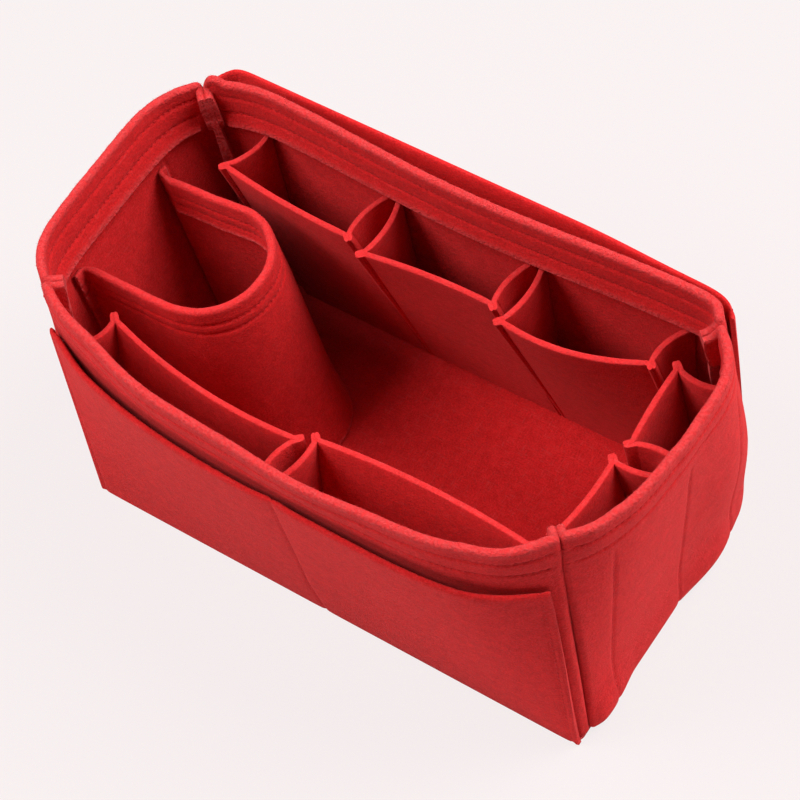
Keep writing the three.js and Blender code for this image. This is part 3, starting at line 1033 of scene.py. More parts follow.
def front_end_share(height):
    return mix(front_foot_end, front_slip["end"], np.clip(height / front_slip_top, 0, 1))


def front_seam_share(height):
    level = (height - seam_bend_height) / (front_slip_top - seam_bend_height)
    return mix(seam_foot_share, seam_mouth_share, np.clip(level, 0, 1))


def mouth_height(slip, shares):
    """Height of a slip pocket's mouth: the front one stands higher in the middle and lower on the right."""
    if slip is back_slip:
        return 0 * shares + slip["top"]
    return slip["top"] + mouth_rise * arch(shares) - mouth_fall * ramp(shares, *mouth_fall_shares)


def slip_line(slip, height, shares):
    """Middle of a slip panel's felt at a height, at some shares of the way along its wall."""
    share = np.linspace(slip["start"], max(slip["end"], front_foot_end), slip_detail)
    if slip is front_slip:
        line = tucked_front(share, height)
    else:
        line = line_points(slip["wall"], share, height, back_slip_line)
    part = height / slip["top"]
    ends = np.minimum(share - slip["start"], slip["end"] - share)
    seam = np.abs(share - front_seam_share(height))
    held = 1 - seam_pull * np.exp(-(seam / seam_pull_reach) ** 2)
    gape = slip["gape"] * part * smooth(part) * smooth(ends / gape_margin) * held
    off_wall = mix(slip_foot_gap, slip_gap, part) + felt / 2 + gape
    line = line - left_of(headings(line)) * off_wall[:, None]
    return np.stack([np.interp(shares, share, line[:, axis]) for axis in range(2)], axis=-1)


seam_shares = [round(float(front_seam_share(height)), 3) for height in (0, front_slip_top)]
print("seam of the front panel, at its foot and its mouth:", seam_shares)

# %% Make the slip pockets
sewn_inside = 0.011
slip_levels = 30
slip_spacing = 1.0
slip_groove = 0.6
mouth_taper = ((0, 0.22, 0.7, 2.0), (0.25, 0.5, 0.75, 1.0))
front_start = front_slip["start"]
back_middle_share = (back_slip["start"] + back_slip["end"]) / 2


def left_middle(height):
    return (front_start + front_seam_share(height)) / 2


def right_middle(height):
    return (front_end_share(height) + front_seam_share(height)) / 2


def front_edge_row(height):
    return front_end_share(height) - sewn_inside


def steady(share):
    return lambda height: share


# Each half: its pocket, panel, sewn edge, free middle and stitch row, and whether its edge is a cut one.
slip_halves = {
    "front_outer_pocket_left_edge": (
        "front_outer_pocket_left", front_slip, steady(front_start), left_middle,
        steady(front_start + sewn_inside), True),
    "front_outer_pocket_left_seam": (
        "front_outer_pocket_left", front_slip, front_seam_share, left_middle, front_seam_share, False),
    "front_outer_pocket_right_seam": (
        "front_outer_pocket_right", front_slip, front_seam_share, right_middle, front_seam_share, False),
    "front_outer_pocket_right_edge": (
        "front_outer_pocket_right", front_slip, front_end_share, right_middle, front_edge_row, True),
    "back_outer_pocket_right": (
        "back_outer_pocket", back_slip, steady(back_slip["start"]), steady(back_middle_share),
        steady(back_slip["start"] + sewn_inside), True),
    "back_outer_pocket_left": (
        "back_outer_pocket", back_slip, steady(back_slip["end"]), steady(back_middle_share),
        steady(back_slip["end"] - sewn_inside), True),
}


def slip_half(name, slip, sewn_edge, free_middle, sewn_row, is_cut):
    """One half of a slip pocket, between its sewn edge and the middle of its mouth."""
    top = slip["top"]
    heights = np.concatenate([np.linspace(slip_foot, top, slip_levels), top - np.array(mouth_taper[0])])
    heights = np.unique(np.round(heights, 3))
    columns = int(abs(sewn_edge(top) - free_middle(top)) * base_length / slip_spacing)
    middle = []
    half = []
    cut = []
    for height in heights:
        shares = np.linspace(*sorted((sewn_edge(height), free_middle(height))), columns)
        plan = slip_line(slip, height, shares)
        lengths = lengths_along(plan)
        from_edge = lengths if sewn_edge(height) < free_middle(height) else lengths[-1] - lengths
        edge = from_edge if is_cut else np.full(columns, no_edge)
        thick = felt / 2 * np.interp(top - height, *mouth_taper) * rounded_edge(edge)
        drawn = groove((shares - sewn_row(height)) * base_length, height, slip_groove)
        part = (height - slip_foot) / (top - slip_foot)
        middle.append(lifted(plan, mix(slip_foot, mouth_height(slip, shares), part)))
        half.append(thick - drawn)
        # Paler loose fibres and a painted highlight along a cut edge.
        cut.append(pocket_light * cut_light(edge))
    return felt_sheet(name, np.array(middle), np.array(half), np.array(cut))


for name, (body, *facts) in slip_halves.items():
    piece = slip_half(name, *facts)
    print(piece.name, len(piece.data.polygons), "faces")

# %% [markdown]
# ## The floor of the bin
# A plain rectangle of felt with cut edges. Rings of points round its outline give it the soft edge that
# the other sheets have, and two flat faces close it.

# %% Make the base panel
base_corner = 4.0
base_corner_steps = 6
base_soft = 0.7
base_crease = math.radians(30)


def base_ring(inset, height):
    radius = base_corner - inset
    points = []
    for side, turn in (((1, -1), -90), ((1, 1), 0), ((-1, 1), 90), ((-1, -1), 180)):
        centre = np.array(side) * (half_length - base_corner, half_width - base_corner)
        for step in range(base_corner_steps + 1):
            angle = math.radians(turn + 90 * step / base_corner_steps)
            points.append([*(centre + radius * np.array([math.cos(angle), math.sin(angle)])), height])
    return points


def make_base():
    rings = [base_ring(base_soft, 0.0), base_ring(0.0, base_soft), base_ring(0.0, felt - base_soft),
             base_ring(base_soft, felt)]
    count = len(rings[0])
    faces = [list(range(count))[::-1], [3 * count + i for i in range(count)]]
    for low in (0, count, 2 * count):
        high = low + count
        for i in range(count):
            after = (i + 1) % count
            faces.append([low + i, low + after, high + after, high + i])
    # The sides of the base get paler loose fibres and a painted highlight.
    cut = [0.0] * count + [1.0] * (2 * count) + [0.0] * count
    return make_mesh("base_panel_felt", np.concatenate(rings), faces, cut, base_crease)


base_piece = make_base()
print(base_piece.name, len(base_piece.data.polygons), "faces")

# %% [markdown]
# ## Felt and thread
# Felt has no weave: it is a mat of short fibres pressed together, so its surface is a fine fuzz with a
# faint mottling and a few paler fibres. Noise gives all three, stretched two ways for the fibres, through
# the colour and a bump. Along cut edges the colour turns paler in tufts, partly for loose fibres and partly
# as a painted highlight; along the folds at the top it is a painted highlight.
# A small class turns sums on sockets into Math nodes, so the recipe reads as arithmetic.

# %% Nodes, and a socket that takes part in sums


def add_node(tree, kind, settings=None, inputs=None):
    """Add a node, set it up, link or fill its inputs, and give its outputs."""
    made = tree.nodes.new(kind)
    for setting, value in (settings or {}).items():
        setattr(made, setting, value)
    for place, value in (inputs or {}).items():
        if isinstance(value, bpy.types.NodeSocket):
            tree.links.new(value, made.inputs[place])
        else:
            made.inputs[place].default_value = value
    return made.outputs


class Wire:
    """A socket of a material's node tree that Python operators can be used on."""

    def __init__(self, tree, socket):
        self.tree = tree
        self.socket = socket

    def node(self, kind, output, settings, inputs):
        """Add a node whose inputs may be wires, and give one of its outputs as a wire."""
        plain = {place: value.socket if isinstance(value, Wire) else value for place, value in inputs.items()}
        return Wire(self.tree, add_node(self.tree, kind, settings, plain)[output])

    def sum_with(self, operation, first, second):
        return self.node("ShaderNodeMath", 0, {"operation": operation}, {0: first, 1: second})

    def __add__(self, other):
        return self.sum_with("ADD", self, other)

    def __radd__(self, other):
        return self.sum_with("ADD", other, self)

    def __mul__(self, other):
        return self.sum_with("MULTIPLY", self, other)

    def __rmul__(self, other):
        return self.sum_with("MULTIPLY", other, self)


def new_material(name):
    material = bpy.data.materials.new(name)
    material.use_nodes = True
    shader = material.node_tree.nodes["Principled BSDF"]
    return material, shader


def object_place(material):
    """Where a point lies on its piece, as a wire."""
    return Wire(material.node_tree, add_node(material.node_tree, "ShaderNodeTexCoord")["Object"])


def feed(shader, values):
    """Give a shader its inputs: wires are linked and plain values written in."""
    for socket, value in values.items():
        if isinstance(value, Wire):
            value.tree.links.new(value.socket, shader.inputs[socket])
        else:
            shader.inputs[socket].default_value = value


def noise(place, scale, detail, roughness, stretch=None):
    if stretch:
        turned = {"Vector": place, "Scale": stretch["scale"], "Rotation": stretch["rotation"]}
        place = place.node("ShaderNodeMapping", "Vector", {}, turned)
    inputs = {"Vector": place, "Scale": scale, "Detail": detail, "Roughness": roughness}
    return place.node("ShaderNodeTexNoise", "Fac", {}, inputs)


def between(wire, low, high):
    inputs = {"Value": wire, "From Min": low, "From Max": high}
    return wire.node("ShaderNodeMapRange", "Result", {"interpolation_type": "SMOOTHSTEP"}, inputs)


def blend_colours(share, first, second):
    return share.node("ShaderNodeMix", 2, {"data_type": "RGBA"}, {0: share, 6: first, 7: second})


print("sums on sockets:", [name for name in vars(Wire) if name.startswith("__")])

# %% Felt
felt_dark = (0.41, 0.009, 0.010, 1)
felt_red = (0.635, 0.018, 0.020, 1)
# A paler colour for random pale fibres, and for the painted highlight on cut edges and folds.
felt_pale_and_highlight = (0.50, 0.067, 0.069, 1)
sheen_tint = (1.0, 0.5, 0.5, 1)
mottle_scale = 210
fuzz_scale = 980
tuft_scale = 620
tuft_limits = (0.36, 0.64)
tone_limits = (0.3, 0.7)
fibre_limits = (0.56, 0.78)
first_fibres = dict(scale=(1500, 170, 1500), rotation=(0.3, 0.2, 0.6))
second_fibres = dict(scale=(170, 1500, 1300), rotation=(0.5, -0.4, 0.9))
bump_strength = 0.62
bump_depth = 0.0011


def make_felt():
    material, shader = new_material("felt")
    place = object_place(material)
    mottle = noise(place, mottle_scale, 3, 0.55)
    fuzz = noise(place, fuzz_scale, 4, 0.65)
    tuft = between(noise(place, tuft_scale, 2, 0.5), *tuft_limits)
    one_way = noise(place, 1.0, 2, 0.5, first_fibres)
    other_way = noise(place, 1.0, 2, 0.5, second_fibres)
    # The mask of paler loose fibres on cut edges, and of painted highlight on cut edges and folds.
    cut = place.node("ShaderNodeAttribute", "Fac", {"attribute_name": "fuzz_and_highlight"}, {})
    tone = between(0.3 * mottle + 0.7 * fuzz, *tone_limits)
    pale = between(one_way, *fibre_limits) + between(other_way, *fibre_limits)
    colour = blend_colours(tone, felt_dark, felt_red)
    # Random pale fibres everywhere; on cut edges and folds the colour is painted paler as a highlight, partly
    # for loose fibres.
    colour = blend_colours(0.3 * pale + cut * (0.45 + 0.5 * tuft), colour, felt_pale_and_highlight)
    height = 0.55 * fuzz + 0.4 * one_way + 0.4 * other_way + 0.8 * cut * tuft
    bump = {"Strength": bump_strength, "Distance": bump_depth, "Height": height}
    feed(shader, {
        "Base Color": colour,
        "Roughness": 0.86 + 0.14 * fuzz,
        "Normal": place.node("ShaderNodeBump", "Normal", {}, bump),
        "Specular IOR Level": 0.1,
        "Sheen Weight": 0.045,
        "Sheen Roughness": 0.45,
        "Sheen Tint": sheen_tint,
    })
    return material


felt_material = make_felt()
print(felt_material.name, len(felt_material.node_tree.nodes), "nodes")

# %% Thread
thread_dark = (0.38, 0.009, 0.011, 1)
thread_red = (0.56, 0.017, 0.019, 1)
strand_scale = 2200
strand_limits = (0.3, 0.7)


def make_thread():
    material, shader = new_material("thread")
    strands = noise(object_place(material), strand_scale, 2, 0.5)
    colour = blend_colours(between(strands, *strand_limits), thread_dark, thread_red)
    feed(shader, {"Base Color": colour, "Roughness": 0.7 + 0.2 * strands, "Specular IOR Level": 0.2})
    return material


thread_material = make_thread()
print(thread_material.name, len(thread_material.node_tree.nodes), "nodes")

# %% [markdown]
# ## Stitches
# The machine sews one stitch after another at an even pitch, so a stitch is made once and set along
# each row by Geometry Nodes. A row is a line of points on the felt that knows which way the felt faces.
# There is one mesh of rows for each body that moves.

# %% Rows of stitches as lines on the felt
stitch_rows = {}
same_height = 0.01


def add_row(body, points, facing):
    stitch_rows.setdefault(body, []).append((np.asarray(points), np.asarray(facing)))


def row_at_height(name, height, side, trim, place):
    """Points along a sheet where its grid passes a height for the first (0) or last (-1) time."""
    sheet = sheet_pieces[name]
    heights = sheet["middle"][:, sheet["half"].shape[1] // 2, 2]
    row = np.nonzero(np.abs(heights - height) < same_height)[0][place]
    facing = sheet["facing"][row] * side
    points = sheet["middle"][row] + facing * sheet["half"][row][:, None]
    keep = to_ends(lengths_along(points)) > trim
    return points[keep], facing[keep]


def row_upright(name, low, high, side, column_of):
    """Points up a sheet, at the column that column_of picks in each row of the grid."""
    sheet = sheet_pieces[name]
    points = []
    facing = []
    for row, line in enumerate(sheet["middle"]):
        height = line[0, 2]
        if len(points) and height <= points[-1][2]:
            break
        if low <= height <= high:
            column = column_of(line)
            normal = sheet["facing"][row, column] * side
            points.append(line[column] + normal * sheet["half"][row, column])
            facing.append(normal)
    return np.array(points), np.array(facing)


def side_towards(name, direction):
    """Which face of a sheet looks in a direction, 1 or -1, judged at the middle of its foot."""
    facing = sheet_pieces[name]["facing"]
    return 1 if facing[0, facing.shape[1] // 2] @ np.append(direction, 0) > 0 else -1


print("stitches", stitch_pitch, "mm apart")

# %% Rows on the walls, the holder, the slip pockets and the pinched corners
wall_row_trim = 12.0
holder_row_trim = 9.0
seam_row_foot = 6.0
slip_row_foot = 3.0
slip_row_drop = 2.0
tab_row_foot = 60.0
tab_row_drop = 1.5
tab_row_inset = 2.2


def add_hem_rows(name, top, sewn, side, trim):
    for row in sewn:
        for place in (0, -1):
            add_row("bin", *row_at_height(name, top - row, side, trim, place))


for wall, name in wall_nodes.items():
    outer = side_towards(name, -wall_frames[wall]["inward"])
    add_hem_rows(name, bin_height, rim_rows, outer, wall_row_trim)
    for foot, top in upright_seams.get(wall, ()):
        def seam_column(line):
            return np.argmin(np.abs(line[:, 1] - mix(foot, top, line[0, 2] / seam_top)))
        add_row("bin", *row_upright(name, seam_row_foot, seam_top, outer, seam_column))
holder_side = side_towards("bottle_holder", to_right)
add_hem_rows("bottle_holder", holder_top, holder_rows, holder_side, holder_row_trim)

for name, (_, slip, _, _, sewn_row, _) in slip_halves.items():
    # The halves on either side of the centre seam share one row, which the left one brings.
    if name == "front_outer_pocket_right_seam":
        continue

    def slip_column(line):
        height = min(line[0, 2], slip["top"])
        target = slip_line(slip, height, np.array([sewn_row(height)]))[0]
        return np.argmin(np.linalg.norm(line[:, :2] - target, axis=1))
    outer = side_towards(name, -wall_frames[slip["wall"]]["inward"])
    add_row("bin", *row_upright(name, slip_row_foot, slip["top"] - slip_row_drop, outer, slip_column))

for name, facts in inner_pockets.items():
    side = side_towards(name + "_front", wall_frames[facts["wall"]]["inward"])
    row_top = pocket_top - tab_row_drop
    for from_end in (False, True):
        def tab_column(line):
            lengths = lengths_along(line)
            return np.argmin(np.abs((lengths[-1] - lengths if from_end else lengths) - tab_row_inset))
        add_row(name, *row_upright(name + "_front", tab_row_foot, row_top, side, tab_column))
print("rows:", {body: len(rows) for body, rows in stitch_rows.items()})

# %% Trees that set a shape on many points


def new_tree(name, numbers):
    """A Geometry Nodes tree with inputs for numbers and a material, and the outputs of its input node."""
    tree = bpy.data.node_groups.new(name, "GeometryNodeTree")
    tree.interface.new_socket("Geometry", in_out="INPUT", socket_type="NodeSocketGeometry")
    for number in numbers:
        tree.interface.new_socket(number, in_out="INPUT", socket_type="NodeSocketFloat")
    tree.interface.new_socket("Material", in_out="INPUT", socket_type="NodeSocketMaterial")
    tree.interface.new_socket("Geometry", in_out="OUTPUT", socket_type="NodeSocketGeometry")
    return tree, add_node(tree, "NodeGroupInput")


def set_on_points(tree, given, points, shape, turn, size):
    """Set a shape on every point, make the copies real, paint them and hand them out."""
    placed = {"Points": points, "Instance": shape, "Rotation": turn, "Scale": size}
    copies = add_node(tree, "GeometryNodeInstanceOnPoints", {}, placed)["Instances"]
    real = add_node(tree, "GeometryNodeRealizeInstances", {}, {"Geometry": copies})["Geometry"]
    painted = {"Geometry": real, "Material": given["Material"]}
    result = add_node(tree, "GeometryNodeSetMaterial", {}, painted)["Geometry"]
    add_node(tree, "NodeGroupOutput", {}, {"Geometry": result})


def run_tree(ground, tree, values, name):
    """What a tree makes on an object, as a new piece; the object itself stays as it was."""
    modifier = ground.modifiers.new(tree.name, "NODES")
    modifier.node_group = tree
    for item in tree.interface.items_tree:
        if item.in_out == "INPUT" and item.name in values:
            modifier[item.identifier] = values[item.name]
    evaluated = ground.evaluated_get(bpy.context.evaluated_depsgraph_get())
    mesh = bpy.data.meshes.new_from_object(evaluated)
    ground.modifiers.remove(modifier)
    mesh.name = name
    return link_object(name, mesh)


def named_attribute(tree, name, kind):
    return add_node(tree, "GeometryNodeInputNamedAttribute", {"data_type": kind}, {"Name": name})["Attribute"]


def sum_node(tree, operation, first, second):
    return add_node(tree, "ShaderNodeMath", {"operation": operation}, {0: first, 1: second})["Value"]


print("trees take", [item.__name__ for item in (new_tree, set_on_points, run_tree)])

# %% The stitch tree
stitch_sizes = {"Pitch": stitch_pitch, "Length": 2.3, "Width": 0.75, "Height": 0.55}
stitch_ball = {"Segments": 6, "Rings": 4, "Radius": 0.5}


def stitch_tree():
    tree, given = new_tree("stitches", stitch_sizes)
    curves = add_node(tree, "GeometryNodeMeshToCurve", {}, {"Mesh": given["Geometry"]})
    spaced = {"Curve": curves["Curve"], "Length": given["Pitch"]}
    points = add_node(tree, "GeometryNodeCurveToPoints", {"mode": "LENGTH"}, spaced)
    facing = named_attribute(tree, "facing", "FLOAT_VECTOR")
    axes = {"Primary Axis": facing, "Secondary Axis": points["Tangent"]}
    turn = add_node(tree, "FunctionNodeAxesToRotation", {"primary_axis": "Z", "secondary_axis": "X"}, axes)
    stitch = add_node(tree, "GeometryNodeMeshUVSphere", {}, stitch_ball)
    sizes = {"X": given["Length"], "Y": given["Width"], "Z": given["Height"]}
    size = add_node(tree, "ShaderNodeCombineXYZ", {}, sizes)
    set_on_points(tree, given, points["Points"], stitch["Mesh"], turn["Rotation"], size["Vector"])
    return tree


stitches = stitch_tree()
print(stitches.name, len(stitches.nodes), "nodes")

# %% Sew every row


def sew(body, rows):
    points = np.concatenate([row[0] for row in rows])
    facing = np.concatenate([row[1] for row in rows])
    edges = []
    first = 0
    for row in rows:
        count = len(row[0])
        edges += [(first + i, first + i + 1) for i in range(count - 1)]
        first += count
    mesh = bpy.data.meshes.new(body + "_rows")
    mesh.from_pydata((points * MILLIMETRE).tolist(), edges, [])
    felt_faces = mesh.attributes.new("facing", "FLOAT_VECTOR", "POINT")
    felt_faces.data.foreach_set("vector", facing.astype(np.float32).ravel())
    rows_object = link_object(body + "_rows", mesh)
    values = {name: size * MILLIMETRE for name, size in stitch_sizes.items()}
    piece = run_tree(rows_object, stitches, {**values, "Material": thread_material}, body + "_stitches")
    bpy.data.objects.remove(rows_object)
    piece.data.shade_smooth()
    return piece


stitch_pieces = {body: sew(body, rows) for body, rows in stitch_rows.items()}
stitch_faces = stitch_ball["Segments"] * stitch_ball["Rings"]
print("stitches:", {body: len(piece.data.polygons) // stitch_faces for body, piece in stitch_pieces.items()})

# %% [markdown]
# ## Loose fibres
# Felt is never quite smooth: short fibres stand up along the folds at the top of the walls and the bottle
# holder. Geometry Nodes scatter thin spikes there, most where the mask of paler loose fibres and painted
# highlight is high, and lean each one its own way.

# %% The fibre tree
fibre_length = 1.3
fibre_width = 0.055
fibre_density = 1.6
fibre_band = 8.0
fibre_lean = 1.2
fibre_turn = 6.28
fibre_reaches = (0.4, 1.3)
fibre_sides = 3
fibre_cone = {"Vertices": fibre_sides, "Radius Top": 0.0, "Radius Bottom": 1.0, "Depth": 1.0}


def fibre_tree():
    tree, given = new_tree("fibres", ("Density", "Length", "Width", "Lowest"))
    crowd = sum_node(tree, "MULTIPLY", named_attribute(tree, "fuzz_and_highlight", "FLOAT"), given["Density"])
    place = add_node(tree, "GeometryNodeInputPosition")
    height = add_node(tree, "ShaderNodeSeparateXYZ", {}, {"Vector": place["Position"]})
    above = sum_node(tree, "GREATER_THAN", height["Z"], given["Lowest"])
    spread_inputs = {"Mesh": given["Geometry"], "Density": sum_node(tree, "MULTIPLY", crowd, above)}
    spread = add_node(tree, "GeometryNodeDistributePointsOnFaces", {}, spread_inputs)
    leans = {0: (-fibre_lean, -fibre_lean, 0.0), 1: (fibre_lean, fibre_lean, fibre_turn)}
    lean = add_node(tree, "FunctionNodeRandomValue", {"data_type": "FLOAT_VECTOR"}, leans)
    angle = add_node(tree, "FunctionNodeEulerToRotation", {}, {"Euler": lean[0]})
    turned = {"Rotation": spread["Rotation"], "Rotate By": angle["Rotation"]}
    turn = add_node(tree, "FunctionNodeRotateRotation", {"rotation_space": "LOCAL"}, turned)
    reaches = {2: fibre_reaches[0], 3: fibre_reaches[1]}
    tall = add_node(tree, "FunctionNodeRandomValue", {"data_type": "FLOAT"}, reaches)
    reach = sum_node(tree, "MULTIPLY", tall[1], given["Length"])
    size = add_node(tree, "ShaderNodeCombineXYZ", {}, {"X": given["Width"], "Y": given["Width"], "Z": reach})
    spike = add_node(tree, "GeometryNodeMeshCone", {"fill_type": "NONE"}, fibre_cone)
    set_on_points(tree, given, spread["Points"], spike["Mesh"], turn["Rotation"], size["Vector"])
    return tree


fibres = fibre_tree()
print(fibres.name, len(fibres.nodes), "nodes")

# %% Grow fibres on the walls and the holder


def grow(name, top):
    """Loose fibres on the top band of one sheet, as a piece of their own."""
    values = {"Density": fibre_density / MILLIMETRE ** 2, "Length": fibre_length * MILLIMETRE,
              "Width": fibre_width * MILLIMETRE, "Lowest": (top - fibre_band) * MILLIMETRE,
              "Material": felt_material}
    return run_tree(sheet_pieces[name]["piece"], fibres, values, name + "_fibres")


fibre_pieces = {name: grow(name, bin_height) for name in wall_nodes.values()}
fibre_pieces["bottle_holder"] = grow("bottle_holder", holder_top)
print("fibres:", {name: len(piece.data.polygons) // fibre_sides for name, piece in fibre_pieces.items()})

# %% [markdown]
# ## What each piece moves with
# The walls, the base, the holder and the outer edges belong to the bin. A pocket front moves with its
# own body, and its gussets stay on the bin, where the share of their width that they would keep when
# the pocket shuts is only worked out. Each half of a slip pocket goes with the body of its pocket.

# %% Felt on every sheet, and the sizes that the sheets were cut to


def dress(piece, node, body=None):
    piece.data.materials.clear()
    piece.data.materials.append(felt_material)
    if body:
        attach(piece, body)
    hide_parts(node)


def in_metres(*lengths):
    return tuple(round(float(length) * MILLIMETRE, 4) for length in lengths)


def sheet_size(name):
    """Width and height of a sheet as it would lie flat, measured through the middle of the felt."""
    middle = sheet_pieces[name]["middle"]
    row = middle[len(middle) // 3]
    column = middle[:, middle.shape[1] // 2]
    return in_metres(lengths_along(row)[-1], lengths_along(column)[-1])


def sheet_area(name):
    """Flat area of a sheet, as the sum of the pieces of its grid."""
    middle = sheet_pieces[name]["middle"] * MILLIMETRE
    across = middle[:-1, 1:] - middle[:-1, :-1]
    up = middle[1:, :-1] - middle[:-1, :-1]
    return float(np.sum(np.linalg.norm(np.cross(across, up), axis=-1)))


def declare(name):
    width, height = sheet_size(name)
    area = min(sheet_area(name), width * height)


for name in wall_nodes.values():
    dress(sheet_pieces[name]["piece"], name, "bin")
    declare(name)
dress(base_piece, "base_panel", "bin")
dress(holder, "bottle_holder", "bin")
declare("bottle_holder")
for body, piece in stitch_pieces.items():
    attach(piece, body)
for piece in fibre_pieces.values():
    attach(piece, "bin")
print("sheets on the bin:", len(wall_nodes) + 2)

# %% Pocket fronts on their own bodies, gussets on the bin
swings = {joint["name"]: joint["range_deg"][1] for joint in frame["record"]["behaviour"]["joints"]}


def wall_lean(wall, along):
    """Depths of a wall's inner face at its foot and at the height of the pockets' mouths."""
    return [wall_depth(wall, np.array([along]), height)[0] for height in (wall_foot, pocket_top)]


def wall_plane(wall, along):
    """A point at the foot of a wall's inner face, and the normal of the leaning wall there."""
    low, high = wall_lean(wall, along)
    normal = np.array([*(wall_frames[wall]["inward"] * (pocket_top - wall_foot)), low - high])
    foot = np.array([*on_wall(wall, [along], [low])[0], wall_foot])
    return foot * MILLIMETRE, unit(normal)


def gusset_keep(facts, end, swing):
    """What is left of a gusset's width when its front has swung shut by an angle in degrees."""
    along, depth = pinch_points(facts, pocket_top)[end][0]
    low, high = wall_lean(facts["wall"], along)
    rise = pocket_top - wall_foot
    opening = math.atan2(depth - low, rise) - math.atan2(high - low, rise)
    return math.sin(opening - math.radians(swing)) / math.sin(opening)


for name, facts in inner_pockets.items():
    dress(sheet_pieces[name + "_front"]["piece"], name + "_front", name)
    declare(name + "_front")
    for end, word in enumerate(("start", "end")):
        gusset_name = name + "_gusset_" + word
        gusset = sheet_pieces[gusset_name]["piece"]
        dress(gusset, gusset_name, "bin")
        declare(gusset_name)
        anchor, axis = wall_plane(facts["wall"], gusset_seams(facts)[end])
        keep = gusset_keep(facts, end, swings[name + "_shut"])
        name + "_shut"
        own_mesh(gusset)
    print(name, "gussets keep", round(keep, 2))

# %% Slip pockets on the bodies of their pockets


def slip_point(slip, share_of):
    height = slip["top"] / 2
    plan = slip_line(slip, height, np.array([share_of(height)]))[0]
    return tuple(np.array([*plan, height]) * MILLIMETRE)


for name, (body, slip, sewn_edge, free_middle, _, _) in slip_halves.items():
    piece = sheet_pieces[name]["piece"]
    dress(piece, body)
    declare(name)
    slip_point(slip, sewn_edge)
    slip_point(slip, free_middle)
    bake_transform(piece)
print("slip halves that bend:", len(slip_halves))

# %% [markdown]
# ## Camera, floor and light
# The camera stands where the photograph was taken from. The floor is plain and pale: the camera sees an
# even glow with a share of the real shadow in it. Two broad lamps stand high at the back right and the
# front left, a weaker one low at the back right, and a faint one overhead.

# %% Camera
view_azimuth = math.radians(45.808)
view_elevation = math.radians(55.268)
view_roll = math.radians(-14.042)
view_distance = 1.0
view_target = np.array([0.00157, 0.00342, 0.075])
focal_pixels = 2144.5
image_width = 800
sensor = 36.0


def set_place(thing, right, up, back, place):
    """Put a camera or a lamp at a place, given its three directions."""
    matrix = np.identity(4)
    matrix[:3] = np.column_stack([right, up, back, place])
    thing.matrix_world = matrix.T.tolist()


def make_camera():
    flat = math.cos(view_elevation)
    back = np.array([math.sin(view_azimuth) * flat, -math.cos(view_azimuth) * flat, math.sin(view_elevation)])
    level_right = np.array([math.cos(view_azimuth), math.sin(view_azimuth), 0.0])
    level_up = np.cross(back, level_right)
    right = level_right * math.cos(view_roll) + level_up * math.sin(view_roll)
    up = level_up * math.cos(view_roll) - level_right * math.sin(view_roll)
    lens = bpy.data.cameras.new("camera")
    lens.sensor_width = sensor
    lens.lens = focal_pixels / image_width * sensor
    camera = link_object("camera", lens)
    set_place(camera, right, up, back, view_target + back * view_distance)
    bpy.context.scene.camera = camera
    return camera


camera = make_camera()
print("camera at", [round(at, 3) for at in camera.matrix_world.translation])
print("lens", round(camera.data.lens, 1), "mm")

# %% Floor and light
floor_colour = (0.80, 0.76, 0.76, 1)
floor_reach = 4.0
floor_drop = 0.0003
backdrop_colour = (0.939, 0.879, 0.879, 1)
shadow_share = 0.07
floor_glow = 0.905
lamp_colour = (1.0, 0.975, 0.965)
lamp_size = 0.9
lamp_aim = np.array([0.0, 0.0, 0.08])
lamp_level = np.array([0.0, 1.0, 0.05])
lamps = {
    "back_right_high": ((0.62, 0.68, 1.39), 31.2),
    "front_left_high": ((-0.73, -0.63, 1.36), 29.6),
    "back_right_low": ((1.03, 1.03, 0.76), 8.7),
    "overhead": ((0.0, 0.0, 1.68), 1.8),
}
sky_strength = 0.02


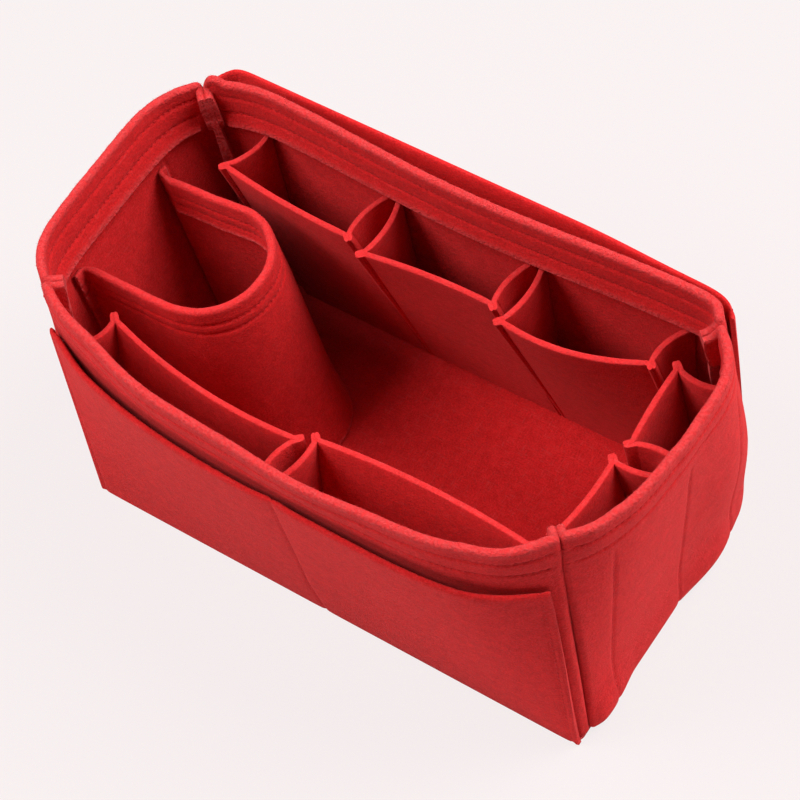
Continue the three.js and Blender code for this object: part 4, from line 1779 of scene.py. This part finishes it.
def seen_directly(tree):
    """1 where a ray comes straight, mirrored or refracted from the camera, and 0 where it only lights."""
    path = add_node(tree, "ShaderNodeLightPath")
    share = Wire(tree, path["Is Camera Ray"])
    for name in ("Is Glossy Ray", "Is Transmission Ray"):
        share = share.sum_with("MAXIMUM", share, Wire(tree, path[name]))
    return share


def make_floor():
    sides = ((-1, -1), (1, -1), (1, 1), (-1, 1))
    corners = [(x * floor_reach, y * floor_reach, -floor_drop) for x, y in sides]
    mesh = bpy.data.meshes.new("floor")
    mesh.from_pydata(corners, [], [(0, 1, 2, 3)])
    material, shader = new_material("floor")
    feed(shader, {"Base Color": floor_colour, "Roughness": 1.0, "Specular IOR Level": 0.0})
    tree = material.node_tree
    glow_inputs = {"Color": backdrop_colour, "Strength": floor_glow / (1 - shadow_share)}
    glow = add_node(tree, "ShaderNodeEmission", {}, glow_inputs)["Emission"]
    share = (1 - shadow_share) * seen_directly(tree)
    mixed = add_node(tree, "ShaderNodeMixShader", {}, {0: share.socket, 1: shader.outputs["BSDF"], 2: glow})
    tree.links.new(mixed["Shader"], tree.nodes["Material Output"].inputs["Surface"])
    mesh.materials.append(material)
    link_object("floor", mesh)


def make_lamp(name, place, power):
    lamp = bpy.data.lights.new(name, "AREA")
    lamp.size = lamp_size
    lamp.energy = power
    lamp.color = lamp_colour
    back = unit(np.array(place) - lamp_aim)
    side = unit(np.cross(lamp_level, back))
    set_place(link_object(name, lamp), side, np.cross(back, side), back, place)


def make_sky():
    world = bpy.data.worlds.new("sky")
    world.use_nodes = True
    tree = world.node_tree
    tree.nodes.clear()
    light_inputs = {"Color": (*lamp_colour, 1), "Strength": sky_strength}
    light = add_node(tree, "ShaderNodeBackground", {}, light_inputs)["Background"]
    seen = add_node(tree, "ShaderNodeBackground", {}, {"Color": backdrop_colour})["Background"]
    mixed = add_node(tree, "ShaderNodeMixShader", {}, {0: seen_directly(tree).socket, 1: light, 2: seen})
    add_node(tree, "ShaderNodeOutputWorld", {}, {"Surface": mixed["Shader"]})
    bpy.context.scene.world = world


make_floor()
for name, (place, power) in lamps.items():
    make_lamp(name, place, power)
make_sky()
bpy.context.scene.view_settings.view_transform = "Standard"
print("lamps:", len(bpy.data.lights))
